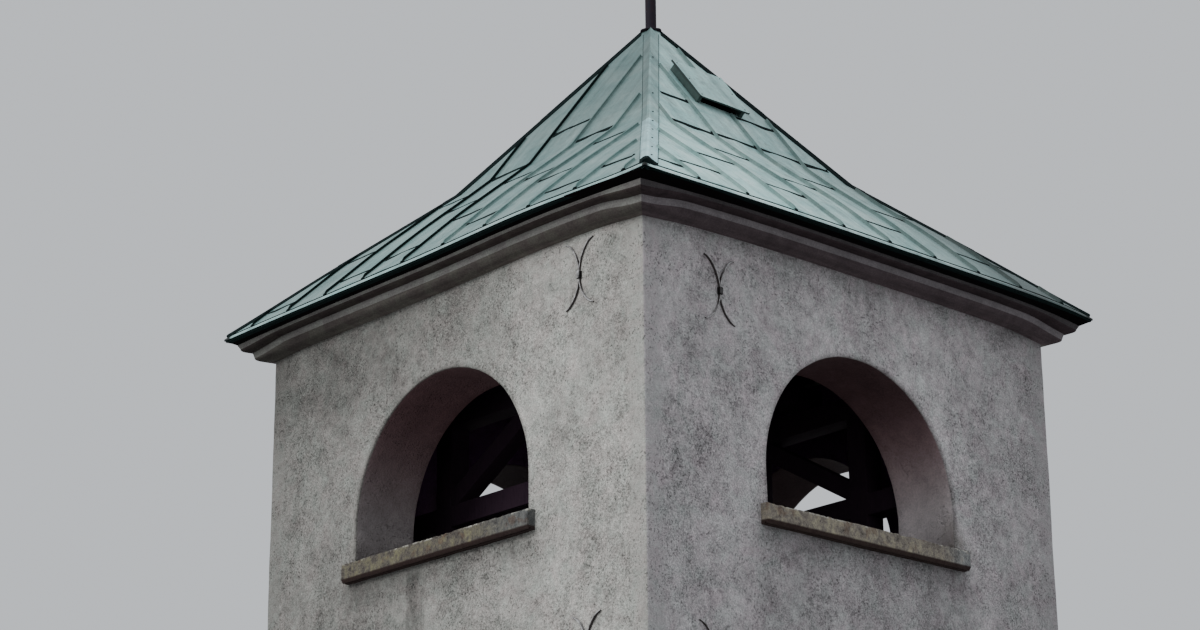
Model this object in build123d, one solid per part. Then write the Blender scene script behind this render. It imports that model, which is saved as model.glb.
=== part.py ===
from build123d import *
import math
import os

# A square church bell tower of rendered masonry, with a two-pitch pyramid roof of seamed sheet metal.
# Millimetres, +Z up. The origin is the centre of the tower's foot, and the front faces -Y.

# Walls
wall_side = 4600.0
wall_height = 9000.0
wall_thick = 600.0
belfry_stage = 3000.0

# Arched belfry openings, one in each face, measured down from the wall top
arch_radius = 1060.0
arch_spring_drop = 1685.0
front_arch_shift = -50.0
sill_drop = 1995.0
sill_thick = 155.0
sill_reach = 80.0
sill_ear = 80.0
sill_fall = 20.0
drip_groove = 14.0
drip_groove_inset = 28.0

# Doorway in the back wall
door_width = 1000.0
door_height = 2100.0
door_leaf_thick = 60.0
door_set_back = 250.0
threshold_height = 120.0

# Moulded cornice: two quarter-round ovolos, each under a leaning fillet, out from the wall and up from its top
lower_ovolo_out = 125.0
lower_ovolo_rise = 67.0
lower_fillet_lean = 14.0
lower_fillet_top = 115.0
upper_ovolo_out = 213.0
upper_ovolo_rise = 147.0
upper_fillet_lean = 20.0
cornice_height = 165.0
cornice_bearing = 300.0

# Eaves: a ring of boards, bevelled from the cornice's edge up to a thin lip
eaves_board_thick = 40.0
eaves_board_inside = 550.0
eaves_board_lip = 298.0
eaves_bevel_start = 238.0
eaves_lip_thick = 10.0
eaves_overhang = 316.0
eaves_edge = 40.0

# Roof, in two pitches
kink_half = 1217.0
kink_rise = 1268.0
apex_rise = 2866.0
roof_drop = 80.0
front_seam_spacing = 512.0
front_seam_shift = -214.0
side_seam_spacing = 533.0
side_seam_shift = 110.0
seam_height = 26.0
seam_width = 14.0
seam_set_back = 30.0
hip_cap_half = 70.0
hip_cap_rise = 14.0
hip_seam_gap = 2.0

# Roof hatch on the right-hand slope, open on its lower side
hatch_from_axis = 685.0
hatch_shift = -20.0
hatch_width = 550.0
hatch_length = 510.0
hatch_board = 36.0
hatch_height = 66.0
lid_overhang = 25.0
lid_thick = 20.0

# Apex plate and finial
plate_drop = 75.0
plate_diameter = 190.0
plate_thick = 12.0
pole_diameter = 98.0
pole_height = 800.0
pole_socket = 250.0
cross_height = 820.0
cross_arm = 270.0
cross_arm_level = 520.0
cross_bar = 50.0
cross_thick = 20.0

# Iron ties, two at the wall top and two under the belfry floor, measured down from those levels
tie_height = 45.0
tie_thick = 14.0
front_tie_place = 1610.0
side_tie_place = 1520.0
front_tie_drop = 285.0
side_tie_drop = 413.0
lower_front_tie_place = 1662.0
lower_side_tie_place = 1645.0
lower_front_tie_drop = 132.0
lower_side_tie_drop = 210.0

# Wall anchors: two bars on edge, bent away from each other, with a wedge in the middle
anchor_half_height = 255.0
anchor_curve = 292.0
anchor_bar = 12.0
anchor_reach = 45.0
wedge_width = 30.0
wedge_height = 72.0
wedge_reach = 62.0

# Belfry floor
joist_count = 4
joist_spacing = 800.0
joist_width = 150.0
joist_height = 180.0
joist_bearing = 200.0
floor_board_thick = 40.0

# Bell frame
frame_timber = 195.0
frame_plane = 1180.0
frame_half_span = 1260.0
frame_rail_over_sill = 680.0
frame_rail_height = 185.0
frame_head_drop = 440.0
brace_timber = 150.0
cross_beam_place = 620.0

# Roof timbers
tie_beam_width = 180.0
king_post_side = 180.0
king_post_drop = 136.0
hip_rafter_width = 110.0
hip_rafter_depth = 170.0

half = wall_side / 2
inner = half - wall_thick
stage_level = wall_height - belfry_stage
floor_level = stage_level + floor_board_thick
arch_spring = wall_height - arch_spring_drop
arch_crown = arch_spring + arch_radius
sill_top = wall_height - sill_drop
sill_foot = sill_top - sill_thick
cornice_top = wall_height + cornice_height
eaves_level = cornice_top + eaves_board_thick
eaves_half = half + eaves_overhang
edge_top = eaves_level + eaves_edge
kink_level = eaves_level + kink_rise
apex_level = eaves_level + apex_rise
plate_level = apex_level - plate_drop
king_post_top = plate_level - king_post_drop
low_pitch = (kink_level - edge_top) / (eaves_half - kink_half)
high_pitch = (apex_level - kink_level) / kink_half
inside_eave_half = eaves_half - (roof_drop - eaves_edge) / low_pitch
hip_cap_end = hip_cap_half * math.sqrt(2) + hip_seam_gap

# Quarter turns that carry a piece made for the front face to each face
FRONT, RIGHT, BACK, LEFT = 0, 1, 2, 3
FACES = {"front": FRONT, "right": RIGHT, "back": BACK, "left": LEFT}


def block(x0, x1, y0, y1, z0, z1):
    """A plain block between two corners."""
    centre = ((x0 + x1) / 2, (y0 + y1) / 2, (z0 + z1) / 2)
    return Pos(*centre) * Box(x1 - x0, y1 - y0, z1 - z0)


def upright(diameter, z0, z1):
    """A round bar on the tower's axis between two levels."""
    return Pos(0, 0, (z0 + z1) / 2) * Cylinder(diameter / 2, z1 - z0)


def side_profile(points, width):
    """A closed outline in the XZ plane, pulled evenly to both sides along Y."""
    face = Plane.XZ * make_face(Polyline(*points, close=True))
    return extrude(face, width / 2, both=True)


def turned(shape, quarter):
    """The same piece on another face of the tower."""
    return Rot(0, 0, 90 * quarter) * shape


def all_round(shape):
    """A piece made for one face, fused with its copies on the other three."""
    return shape + turned(shape, 1) + turned(shape, 2) + turned(shape, 3)


def quadrant(z0, z1):
    """The quarter of the plan that belongs to the right-hand face, between two levels."""
    reach = wall_side
    plan = Polyline((0, 0), (reach, -reach), (reach, reach), close=True)
    return extrude(Plane.XY.offset(z0) * make_face(plan), z1 - z0)


def tie_place(level, quarter):
    """Where a tie's end comes out of a face: along the face, seen as the front, and its height."""
    if level == "upper":
        places = (front_tie_place, side_tie_place)
        heights = (wall_height - front_tie_drop, wall_height - side_tie_drop)
    else:
        places = (lower_front_tie_place, lower_side_tie_place)
        heights = (stage_level - lower_front_tie_drop, stage_level - lower_side_tie_drop)
    along = {FRONT: places[0], BACK: -places[0], RIGHT: -places[1], LEFT: places[1]}[quarter]
    return along, heights[quarter % 2]


def tie_slot(level, quarter):
    """The slot that a tie fills in a face's wall."""
    along, height = tie_place(level, quarter)
    side = tie_thick / 2
    deep = tie_height / 2
    return block(along - side, along + side, -half, -inner, height - deep, height + deep)


def wall_span(quarter):
    """Front and back walls run through the corners, and side walls stand between them."""
    return half if quarter in (FRONT, BACK) else inner


def joist_places():
    """The joists' middles along the front wall."""
    first = -joist_spacing * (joist_count - 1) / 2
    return [first + joist_spacing * step for step in range(joist_count)]


def lower_wall(quarter):
    """One wall from the ground to the belfry floor, with the joists' pockets in front and back."""
    span = wall_span(quarter)
    wall = block(-span, span, -half, -inner, 0, stage_level) - tie_slot("lower", quarter)
    if quarter in (FRONT, BACK):
        side = joist_width / 2
        foot = stage_level - joist_height
        for place in joist_places():
            wall -= block(place - side, place + side, -inner - joist_bearing, -inner, foot, stage_level)
    return turned(wall, quarter)


def back_wall_pieces():
    """The back wall beside the doorway, to the left and right, and over it."""
    wall = lower_wall(BACK)
    side = door_width / 2
    beside_left = wall & block(-half, -side, inner, half, 0, stage_level)
    beside_right = wall & block(side, half, inner, half, 0, stage_level)
    over = wall & block(-side, side, inner, half, door_height, stage_level)
    return beside_left, beside_right, over


def opening_centre(quarter):
    """How far the opening's middle is from the face's middle, seen as the front."""
    return front_arch_shift if quarter == FRONT else 0.0


def arch_cut(centre):
    """The opening's form right through a wall: short jambs and a half-round head."""
    left = centre - arch_radius
    right = centre + arch_radius
    jambs = block(left, right, -half, -inner, sill_foot, arch_spring)
    drum = Pos(centre, -(half + inner) / 2, arch_spring) * Rot(90, 0, 0) * Cylinder(arch_radius, wall_thick)
    return jambs + (drum & block(left, right, -half, -inner, arch_spring, arch_crown))


def belfry_wall(quarter):
    """One wall of the belfry stage with its arched opening."""
    span = wall_span(quarter)
    wall = block(-span, span, -half, -inner, stage_level, wall_height)
    wall -= arch_cut(opening_centre(quarter))
    wall -= tie_slot("upper", quarter)
    return turned(wall, quarter)


def sill(quarter):
    """A sill as deep as the wall with a sloped top, and a grooved nosing that runs past both jambs."""
    centre = opening_centre(quarter)
    reach = arch_radius + sill_ear
    edge = half + sill_reach
    high = sill_top + sill_fall
    outline = [(edge, sill_foot), (inner, sill_foot), (inner, high), (edge, sill_top)]
    whole = Pos(0, centre, 0) * side_profile(outline, 2 * reach)
    bed = whole & block(inner, half, centre - arch_radius, centre + arch_radius, sill_foot, high)
    nosing = whole & block(half, edge, centre - reach, centre + reach, sill_foot, high)
    groove = edge - drip_groove_inset
    groove_top = sill_foot + drip_groove
    stone = bed + nosing - block(groove - drip_groove, groove, centre - reach, centre + reach, sill_foot, groove_top)
    return turned(stone, quarter - RIGHT)


def ovolo(out, foot, new_out, rise):
    """A quarter-round moulding that swells from one projection and level to the next."""
    centre = (half + out, wall_height + rise)
    return EllipticalCenterArc(centre, new_out - out, rise - foot, start_angle=270, arc_size=90)


def cornice_side():
    """One side of the cornice, mitred at the corners."""
    back = half - cornice_bearing
    lower_start = (half, wall_height)
    lower_end = (half + lower_ovolo_out, wall_height + lower_ovolo_rise)
    step_out = lower_ovolo_out + lower_fillet_lean
    upper_start = (half + step_out, wall_height + lower_fillet_top)
    upper_end = (half + upper_ovolo_out, wall_height + upper_ovolo_rise)
    top_edge = (half + upper_ovolo_out + upper_fillet_lean, cornice_top)
    outline = ovolo(0, 0, lower_ovolo_out, lower_ovolo_rise)
    outline += Line(lower_end, upper_start)
    outline += ovolo(step_out, lower_fillet_top, upper_ovolo_out, upper_ovolo_rise)
    outline += Line(upper_end, top_edge)
    outline += Polyline(top_edge, (back, cornice_top), (back, wall_height), lower_start)
    whole = extrude(Plane.XZ * make_face(outline), eaves_half, both=True)
    return whole & quadrant(wall_height, cornice_top)


def eaves_boards():
    """A ring of boards on the cornice, which carries the roof and shows as a narrow slanting soffit."""
    outline = [
        (half - eaves_board_inside, cornice_top),
        (half + eaves_bevel_start, cornice_top),
        (half + eaves_board_lip, eaves_level - eaves_lip_thick),
        (half + eaves_board_lip, eaves_level),
        (half - eaves_board_inside, eaves_level),
    ]
    return all_round(side_profile(outline, 2 * eaves_half) & quadrant(cornice_top, eaves_level))


def roof_height(distance):
    """The height of a slope's upper surface at a distance from the axis."""
    if distance > kink_half:
        return edge_top + (eaves_half - distance) * low_pitch
    return apex_level - distance * high_pitch


def roof_line():
    """A slope's upper surface from eaves to apex, as points of distance from the axis and height."""
    return [(place, roof_height(place)) for place in (eaves_half, kink_half, 0)]


def roof_inside():
    """The room under the sheets as one solid, which trims the timbers that bear them."""
    outline = [
        (0, eaves_level),
        (inside_eave_half, eaves_level),
        (kink_half, kink_level - roof_drop),
        (0, apex_level - roof_drop),
    ]
    return all_round(side_profile(outline, 2 * eaves_half) & quadrant(eaves_level, apex_level))


def standing_seam(place):
    """One upright seam from near the eaves to the hip, bent where the pitch changes, or None where too short."""
    foot = eaves_half - seam_set_back
    end = abs(place) + seam_width / 2 + hip_cap_end
    if end > foot - seam_set_back:
        return None
    line = [(distance, roof_height(distance)) for distance in (foot, kink_half, end) if distance >= end]
    crest = [(x, z + seam_height) for x, z in reversed(line)]
    return Pos(0, place, 0) * side_profile(line + crest, seam_width)


def seam_places(quarter):
    """The seams' places along a slope's eaves, from hip to hip."""
    spacing, shift = side_seam_spacing, side_seam_shift
    if quarter in (FRONT, BACK):
        spacing, shift = front_seam_spacing, front_seam_shift
    steps = int(eaves_half / spacing) + 1
    return [shift + spacing * step for step in range(-steps, steps + 1)]


def slope_plane():
    """A plane on the upper pitch at the hatch: its z is the slope's normal and its x runs down the slope."""
    origin = (hatch_from_axis, hatch_shift, roof_height(hatch_from_axis))
    return Plane(origin=origin, x_dir=(1, 0, -high_pitch), z_dir=(high_pitch, 0, 1))


def hatch_block(up, down, width, low, high):
    """A block on the slope, from up the slope to down it, between two heights above the sheets."""
    middle = Pos((down - up) / 2, 0, (low + high) / 2)
    return slope_plane() * middle * Box(up + down, width, high - low)


def roof_slope(quarter):
    """One slope of two pitches, mitred at the hips, with its standing seams."""
    sheet = roof_line() + [
        (0, apex_level - roof_drop),
        (kink_half, kink_level - roof_drop),
        (inside_eave_half, eaves_level),
        (eaves_half, eaves_level),
    ]
    slope = side_profile(sheet, 2 * eaves_half) & quadrant(eaves_level, plate_level)
    for place in seam_places(quarter):
        seam = standing_seam(place)
        if seam is not None:
            slope += seam
    if quarter == RIGHT:
        end = hatch_length / 2
        hole_end = end - hatch_board
        slope -= hatch_block(end, end, hatch_width, 0, hatch_height)
        slope -= hatch_block(hole_end, hole_end, hatch_width - 2 * hatch_board, -2 * roof_drop, hatch_height)
    slope -= upright(pole_diameter, king_post_top, apex_level)
    return turned(slope, quarter - RIGHT)


def hip_caps():
    """A folded strip over each hip, bent where the pitch changes."""
    low = roof_line()
    high = [(x, z + hip_cap_rise) for x, z in reversed(low)]
    skin = side_profile(low + high, 2 * eaves_half) & quadrant(eaves_level, plate_level)
    corner = block(0, wall_side, 0, wall_side, 0, apex_level)
    band = corner & (Rot(0, 0, 45) * Box(4 * eaves_half, 2 * hip_cap_half, 4 * apex_level))
    cap = (skin & band) + (turned(skin, 1) & band) - upright(2 * hip_cap_end, eaves_level, apex_level)
    return Compound(children=[turned(cap, quarter) for quarter in FACES.values()])


def hatch_box():
    """Three boards round the hatch's hole, square to the slope, with the lower side left open."""
    end = hatch_length / 2
    outer = hatch_block(end, end, hatch_width, 0, hatch_height)
    return outer - hatch_block(end - hatch_board, end, hatch_width - 2 * hatch_board, 0, hatch_height)


def hatch_lid():
    """A flat lid that runs past the boards on every side."""
    end = hatch_length / 2 + lid_overhang
    return hatch_block(end, end, hatch_width + 2 * lid_overhang, hatch_height, hatch_height + lid_thick)


def apex_plate():
    """A round plate on the cut top of the roof, with the pole through it."""
    top = plate_level + plate_thick
    return upright(plate_diameter, plate_level, top) - upright(pole_diameter, plate_level, top)


def finial_pole():
    """The round iron pole, from its socket in the king post up."""
    return upright(pole_diameter, king_post_top - pole_socket, plate_level + pole_height)


def finial_cross():
    """A plain cross of flat bar that stands on the pole."""
    foot = plate_level + pole_height
    side = cross_bar / 2
    deep = cross_thick / 2
    arm_level = foot + cross_arm_level
    stem = block(-side, side, -deep, deep, foot, foot + cross_height)
    return stem + block(-cross_arm, cross_arm, -deep, deep, arm_level - side, arm_level + side)


def wall_anchor(level, quarter):
    """Two bars on edge, back to back and bent away from each other, with a wedge where the tie ends."""
    along, height = tie_place(level, quarter)
    arc = Circle(anchor_curve + anchor_bar / 2) - Circle(anchor_curve - anchor_bar / 2)
    bars = Pos(anchor_curve, 0) * arc + Pos(-anchor_curve, 0) * arc
    bars &= Rectangle(2 * anchor_curve, 2 * anchor_half_height)
    iron = extrude(bars, anchor_reach) + extrude(Rectangle(wedge_width, wedge_height), wedge_reach)
    face = Plane(origin=(along, -half, height), x_dir=(1, 0, 0), z_dir=(0, -1, 0))
    return turned(face * iron, quarter)


def wall_anchors(level):
    """The four anchors of one level."""
    return Compound(children=[wall_anchor(level, quarter) for quarter in FACES.values()])


def wall_ties(level):
    """Two flat ties of one level, which cross near the tower's near corner at different heights."""
    front, front_z = tie_place(level, FRONT)
    side, side_z = tie_place(level, LEFT)
    thick = tie_thick / 2
    deep = tie_height / 2
    front_tie = block(front - thick, front + thick, -half, half, front_z - deep, front_z + deep)
    side_tie = block(-half, half, -side - thick, -side + thick, side_z - deep, side_z + deep)
    return Compound(children=[front_tie, side_tie])


def floor_joists():
    """Joists from the front wall's pockets to the back wall's."""
    reach = inner + joist_bearing
    foot = stage_level - joist_height
    side = joist_width / 2
    return Compound(children=[block(x - side, x + side, -reach, reach, foot, stage_level) for x in joist_places()])


def floor_boards():
    """The belfry floor between the walls."""
    return block(-inner, inner, -inner, inner, stage_level, floor_level)


def brace(side, foot, head):
    """A raking timber in the XZ plane from an outer post up to the middle post, trimmed level at both ends."""
    x0 = side * frame_half_span
    x1 = side * frame_timber / 2
    angle = math.degrees(math.atan2(head - foot, x1 - x0))
    length = 2 * math.hypot(x1 - x0, head - foot)
    bar = Pos((x0 + x1) / 2, 0, (foot + head) / 2) * Rot(0, -angle, 0) * Box(length, brace_timber, brace_timber)
    low_x, high_x = sorted((x0, x1))
    return bar & block(low_x, high_x, -brace_timber, brace_timber, foot, head)


def bell_truss(side):
    """One truss of the bell frame: posts, a rail over the sills, a head beam and raking braces."""
    deep = frame_timber / 2
    head_top = wall_height - frame_head_drop
    head_foot = head_top - frame_timber
    rail_top = sill_top + frame_rail_over_sill
    end = frame_half_span + deep
    truss = block(-inner, inner, -deep, deep, rail_top - frame_rail_height, rail_top)
    truss += block(-end, end, -deep, deep, head_foot, head_top)
    for place in (-frame_half_span, 0, frame_half_span):
        truss += block(place - deep, place + deep, -deep, deep, floor_level, head_foot)
    for hand in (-1, 1):
        truss += brace(hand, rail_top, head_foot)
    return Pos(0, side * frame_plane, 0) * truss


def bell_cross_beams():
    """Beams across the two trusses, from which bells are hung."""
    side = frame_timber / 2
    reach = frame_plane + side
    foot = wall_height - frame_head_drop
    beams = []
    for x in (-cross_beam_place, cross_beam_place):
        beams.append(block(x - side, x + side, -reach, reach, foot, foot + frame_timber))
    return Compound(children=beams)


def tie_beam():
    """The roof's tie beam on the side walls, between the cornice's inner faces."""
    reach = half - cornice_bearing
    side = tie_beam_width / 2
    return block(-reach, reach, -side, side, wall_height, cornice_top)


def king_post():
    """The post from the tie beam to the roof's top, with a socket for the finial's pole."""
    side = king_post_side / 2
    post = block(-side, side, -side, side, cornice_top, king_post_top)
    return post - upright(pole_diameter, king_post_top - pole_socket, king_post_top)


def hip_rafters():
    """A rafter under each hip, backed to both slopes, from the eaves boards to the king post."""
    root = math.sqrt(2)
    line = [(x * root, z) for x, z in roof_line()]
    deep = roof_drop + hip_rafter_depth * root
    body = line + [(x, z - deep) for x, z in reversed(line)]
    rafter = Rot(0, 0, 45) * side_profile(body, hip_rafter_width)
    rafter &= roof_inside()
    side = king_post_side / 2
    rafter -= block(-side, side, -side, side, eaves_level, apex_level)
    return Compound(children=[turned(rafter, quarter) for quarter in FACES.values()])


def door_leaf():
    """A closed plank door, set back in the doorway."""
    side = door_width / 2
    face = half - door_set_back
    return block(-side, side, face - door_leaf_thick, face, threshold_height, door_height)


def door_threshold():
    """A stone threshold between the jambs."""
    side = door_width / 2
    return block(-side, side, inner, half, 0, threshold_height)


def make_parts():
    """Every piece by its node's name."""
    parts = {}
    for name, quarter in FACES.items():
        if quarter != BACK:
            parts[name + "_lower_wall"] = lower_wall(quarter)
        parts[name + "_belfry_wall"] = belfry_wall(quarter)
        parts[name + "_sill"] = sill(quarter)
        parts[name + "_cornice"] = turned(cornice_side(), quarter - RIGHT)
        parts[name + "_roof_slope"] = roof_slope(quarter)
    beside_left, beside_right, over = back_wall_pieces()
    parts["back_lower_wall_left"] = beside_left
    parts["back_lower_wall_right"] = beside_right
    parts["back_wall_over_door"] = over
    parts["door_leaf"] = door_leaf()
    parts["door_threshold"] = door_threshold()
    parts["eaves_boards"] = eaves_boards()
    parts["hip_caps"] = hip_caps()
    parts["roof_hatch_box"] = hatch_box()
    parts["roof_hatch_lid"] = hatch_lid()
    parts["apex_plate"] = apex_plate()
    parts["finial_pole"] = finial_pole()
    parts["finial_cross"] = finial_cross()
    for level in ("upper", "lower"):
        parts[level + "_wall_anchors"] = wall_anchors(level)
        parts[level + "_wall_ties"] = wall_ties(level)
    parts["floor_joists"] = floor_joists()
    parts["floor_boards"] = floor_boards()
    parts["front_bell_truss"] = bell_truss(-1)
    parts["back_bell_truss"] = bell_truss(1)
    parts["bell_cross_beams"] = bell_cross_beams()
    parts["roof_tie_beam"] = tie_beam()
    parts["king_post"] = king_post()
    parts["hip_rafters"] = hip_rafters()
    return parts


os.makedirs("parts", exist_ok=True)
for node, shape in make_parts().items():
    export_step(shape, "parts/" + node + ".step")
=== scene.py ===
import math

import bmesh
import bpy
from mathutils import Matrix, Vector, noise


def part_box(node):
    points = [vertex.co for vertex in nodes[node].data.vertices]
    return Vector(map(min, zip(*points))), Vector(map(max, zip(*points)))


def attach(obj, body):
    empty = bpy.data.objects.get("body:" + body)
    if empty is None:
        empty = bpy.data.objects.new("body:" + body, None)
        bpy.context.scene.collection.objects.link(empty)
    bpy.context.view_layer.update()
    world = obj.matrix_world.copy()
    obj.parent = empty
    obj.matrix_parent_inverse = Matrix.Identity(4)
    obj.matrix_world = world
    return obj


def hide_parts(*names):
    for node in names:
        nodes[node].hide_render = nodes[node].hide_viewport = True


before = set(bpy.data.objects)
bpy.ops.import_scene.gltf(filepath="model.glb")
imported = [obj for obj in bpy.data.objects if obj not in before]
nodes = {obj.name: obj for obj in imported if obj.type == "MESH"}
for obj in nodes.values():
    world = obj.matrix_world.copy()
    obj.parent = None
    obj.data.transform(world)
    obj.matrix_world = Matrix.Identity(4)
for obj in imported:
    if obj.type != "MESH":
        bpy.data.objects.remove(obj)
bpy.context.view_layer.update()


def limit(node, corner, axis):
    """A coordinate of a CAD node's box at rest, of its lowest corner (0) or its highest (1)."""
    return round(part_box(node)[corner]["xyz".index(axis)], 4)


# Metres, in the tower's own frame: the axis is at x = y = 0 and the front faces -Y.
FACES = ("front", "right", "back", "left")
FRONT, RIGHT, BACK, LEFT = range(4)

# Walls and doorway
HALF = limit("front_belfry_wall", 1, "x")
INNER = limit("floor_boards", 1, "x")
WALL = HALF - INNER
STAGE = limit("front_belfry_wall", 0, "z")
WALL_TOP = limit("front_belfry_wall", 1, "z")
DOOR_HALF = limit("door_leaf", 1, "x")
DOOR_TOP = limit("door_leaf", 1, "z")
THRESHOLD = limit("door_threshold", 1, "z")

# The belfry's openings, and how far beside its face's middle each stands
ARCH_RADIUS = 1.06
ARCH_SPRING = 7.315
ARCH_SHIFT = (-0.05, 0.0, 0.0, 0.0)

# The sills: the nosing's top, the fall through the wall, and how far they stand out and run past the opening
SILL_FOOT = limit("front_sill", 0, "z")
SILL_TOP = 7.005
SILL_FALL = 0.02
SILL_REACH = 0.08
SILL_EAR = 0.08

# Cornice and roof. The slopes change pitch at the kink, and their boards lie ROOF_DROP under the sheets.
CORNICE_RISE = 0.165
CORNICE_BED = 0.3
EAVES_HALF = limit("front_roof_slope", 1, "x")
EAVES = limit("front_roof_slope", 0, "z")
BOARDS_HALF = limit("hip_rafters", 1, "x")
EDGE_TOP = 9.245
KINK_HALF = 1.217
KINK = 10.473
APEX = 12.071
PLATE = limit("apex_plate", 0, "z")
ROOF_DROP = 0.08
HIP_CAP_HALF = 0.07
LOW_PITCH = (KINK - EDGE_TOP) / (EAVES_HALF - KINK_HALF)
HIGH_PITCH = (APEX - KINK) / KINK_HALF
# The standing seams of each face: how far apart, and the place of one of them along the face
SEAMS = ((0.512, -0.214), (0.533, 0.11), (0.512, -0.214), (0.533, 0.11))


class Value:
    """One output of a shader node, whose sums, products and steps add Math nodes."""

    def __init__(self, finish, socket):
        self.finish = finish
        self.socket = socket

    def _math(self, operation, first, second=0.0):
        return self.finish.node("ShaderNodeMath", {"operation": operation}, {0: first, 1: second})

    def __add__(self, other):
        return self._math("ADD", self, other)

    def __sub__(self, other):
        return self._math("SUBTRACT", self, other)

    def __rsub__(self, other):
        return self._math("SUBTRACT", other, self)

    def __mul__(self, other):
        return self._math("MULTIPLY", self, other)

    def __truediv__(self, other):
        return self._math("DIVIDE", self, other)

    def __pow__(self, other):
        return self._math("POWER", self, other)

    def __abs__(self):
        return self._math("ABSOLUTE", self)

    __radd__ = __add__
    __rmul__ = __mul__

    def least(self, other):
        return self._math("MINIMUM", self, other)

    def most(self, other):
        return self._math("MAXIMUM", self, other)

    def clipped(self):
        return self.most(0.0).least(1.0)

    def floor(self):
        return self._math("FLOOR", self)

    def fraction(self):
        return self._math("FRACT", self)

    def step(self, low, high):
        """Nought at low and one at high, eased at both ends. High may be under low."""
        settings = {"interpolation_type": "SMOOTHSTEP"}
        return self.finish.node("ShaderNodeMapRange", settings, {0: self, 1: low, 2: high, 3: 0.0, 4: 1.0})


class Finish:
    """A procedural material around one Principled BSDF, in the tower's own coordinates."""

    def __init__(self, name):
        self.material = bpy.data.materials.new(name)
        self.material.use_nodes = True
        self.tree = self.material.node_tree
        self.tree.nodes.clear()
        self.place = self.node("ShaderNodeTexCoord", output="Object")
        self.x, self.y, self.z = self.parts(self.place)
        self.nx, self.ny, self.nz = self.parts(self.node("ShaderNodeNewGeometry", output="Normal"))

    def parts(self, vector):
        return [self.node("ShaderNodeSeparateXYZ", (), {0: vector}, axis) for axis in "XYZ"]

    def node(self, kind, settings=(), inputs=(), output=0):
        """Adds a node: its type, its settings, and the values or links of its sockets. Gives one output."""
        made = self.tree.nodes.new(kind)
        for name, value in dict(settings).items():
            setattr(made, name, value)
        for name, value in dict(inputs).items():
            if isinstance(value, Value):
                self.tree.links.new(value.socket, made.inputs[name])
            else:
                made.inputs[name].default_value = value
        return Value(self, made.outputs[output]) if made.outputs else None

    def noise(self, size, detail=3.0, roughness=0.55, place=None, stretch=None, distortion=0.0):
        """Cloudy noise from 0 to 1, with blobs of about this size in metres."""
        place = place or self.place
        if stretch:
            place = self.product(place, stretch)
        inputs = {"Vector": place, "Scale": 1.0 / size, "Detail": detail, "Roughness": roughness}
        inputs["Distortion"] = distortion
        return self.node("ShaderNodeTexNoise", {"noise_dimensions": "3D"}, inputs)

    def cells(self, size):
        """The distance to the nearest of scattered points, about this far apart in metres."""
        inputs = {"Vector": self.place, "Scale": 1.0 / size}
        return self.node("ShaderNodeTexVoronoi", {"feature": "F1"}, inputs, "Distance")

    def point(self, x, y, z):
        return self.node("ShaderNodeCombineXYZ", (), {0: x, 1: y, 2: z})

    def product(self, first, second):
        """Two colours or vectors multiplied part by part."""
        return self.node("ShaderNodeVectorMath", {"operation": "MULTIPLY"}, {0: first, 1: second})

    def colours(self, mask, first, second):
        """The first colour where the mask is nought and the second where it is one."""
        first, second = (c if isinstance(c, Value) else (*c, 1.0) for c in (first, second))
        return self.node("ShaderNodeMix", {"data_type": "RGBA"}, {0: mask, 6: first, 7: second}, 2)

    def shade(self, colour, factor):
        """The colour made lighter or darker by a factor that may vary."""
        return self.product(colour, self.point(factor, factor, factor))

    def done(self, colour, roughness, height=None, depth=0.01, metallic=0.0, gloss=0.5):
        """Sets the shader, with a bump of this depth in metres, and returns the material."""
        inputs = {"Base Color": colour, "Roughness": roughness, "Metallic": metallic}
        inputs["Specular IOR Level"] = gloss
        if height is not None:
            bump = {"Height": height, "Distance": depth, "Strength": 1.0}
            inputs["Normal"] = self.node("ShaderNodeBump", (), bump)
        self.node("ShaderNodeOutputMaterial", (), {0: self.node("ShaderNodeBsdfPrincipled", (), inputs)})
        return self.material


def even(start, end, step):
    """Places from start to end, about a step apart."""
    count = max(1, round(abs(end - start) / step))
    return [start + (end - start) * i / count for i in range(count + 1)]


def turned(point, quarter):
    """A point made for the front face, carried to the same place on another face."""
    x, y, z = point
    for _ in range(quarter % 4):
        x, y = -y, x
    return Vector((x, y, z))


def ease(value):
    """Nought up to nought and one from one on, with a smooth rise between."""
    value = min(1.0, max(0.0, value))
    return value * value * (3.0 - 2.0 * value)


class Form:
    """The points and faces of one piece, gathered before they become its mesh.

    Each face has a tag, the place of its finish in the piece's list of finishes.
    """

    def __init__(self):
        self.points = []
        self.faces = []
        self.tags = []

    def add(self, points, faces, tag=0):
        start = len(self.points)
        self.points += [Vector(p) for p in points]
        self.faces += [tuple(start + i for i in face) for face in faces]
        self.tags += [tag] * len(faces)

    def rows(self, rows, closed=False, tag=0):
        """Quads between rows of points. Closed also joins the ends of each row."""
        width = len(rows[0])
        faces = []
        for r in range(len(rows) - 1):
            a, b = r * width, (r + 1) * width
            for c in range(width if closed else width - 1):
                d = (c + 1) % width
                faces.append((a + c, a + d, b + d, b + c))
        self.add([p for row in rows for p in row], faces, tag)

    def bar(self, rings, tag=0):
        """A closed body through rings of points, with an end on the first and the last."""
        self.rows(rings, closed=True, tag=tag)
        around = tuple(range(len(rings[0])))
        self.add(rings[0], [around[::-1]], tag)
        self.add(rings[-1], [around], tag)

    def strips(self, rings, tags, end_tag=0):
        """A closed body through rings, where each span round them has its own tag."""
        around = len(tags)
        for k, tag in enumerate(tags):
            self.rows([[ring[k], ring[(k + 1) % around]] for ring in rings], tag=tag)
        self.add(rings[0], [tuple(range(around))[::-1]], end_tag)
        self.add(rings[-1], [tuple(range(around))], end_tag)

    def turn(self, quarter):
        """The same form on another face."""
        made = Form()
        made.points = [turned(p, quarter) for p in self.points]
        made.faces, made.tags = list(self.faces), list(self.tags)
        return made


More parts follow.
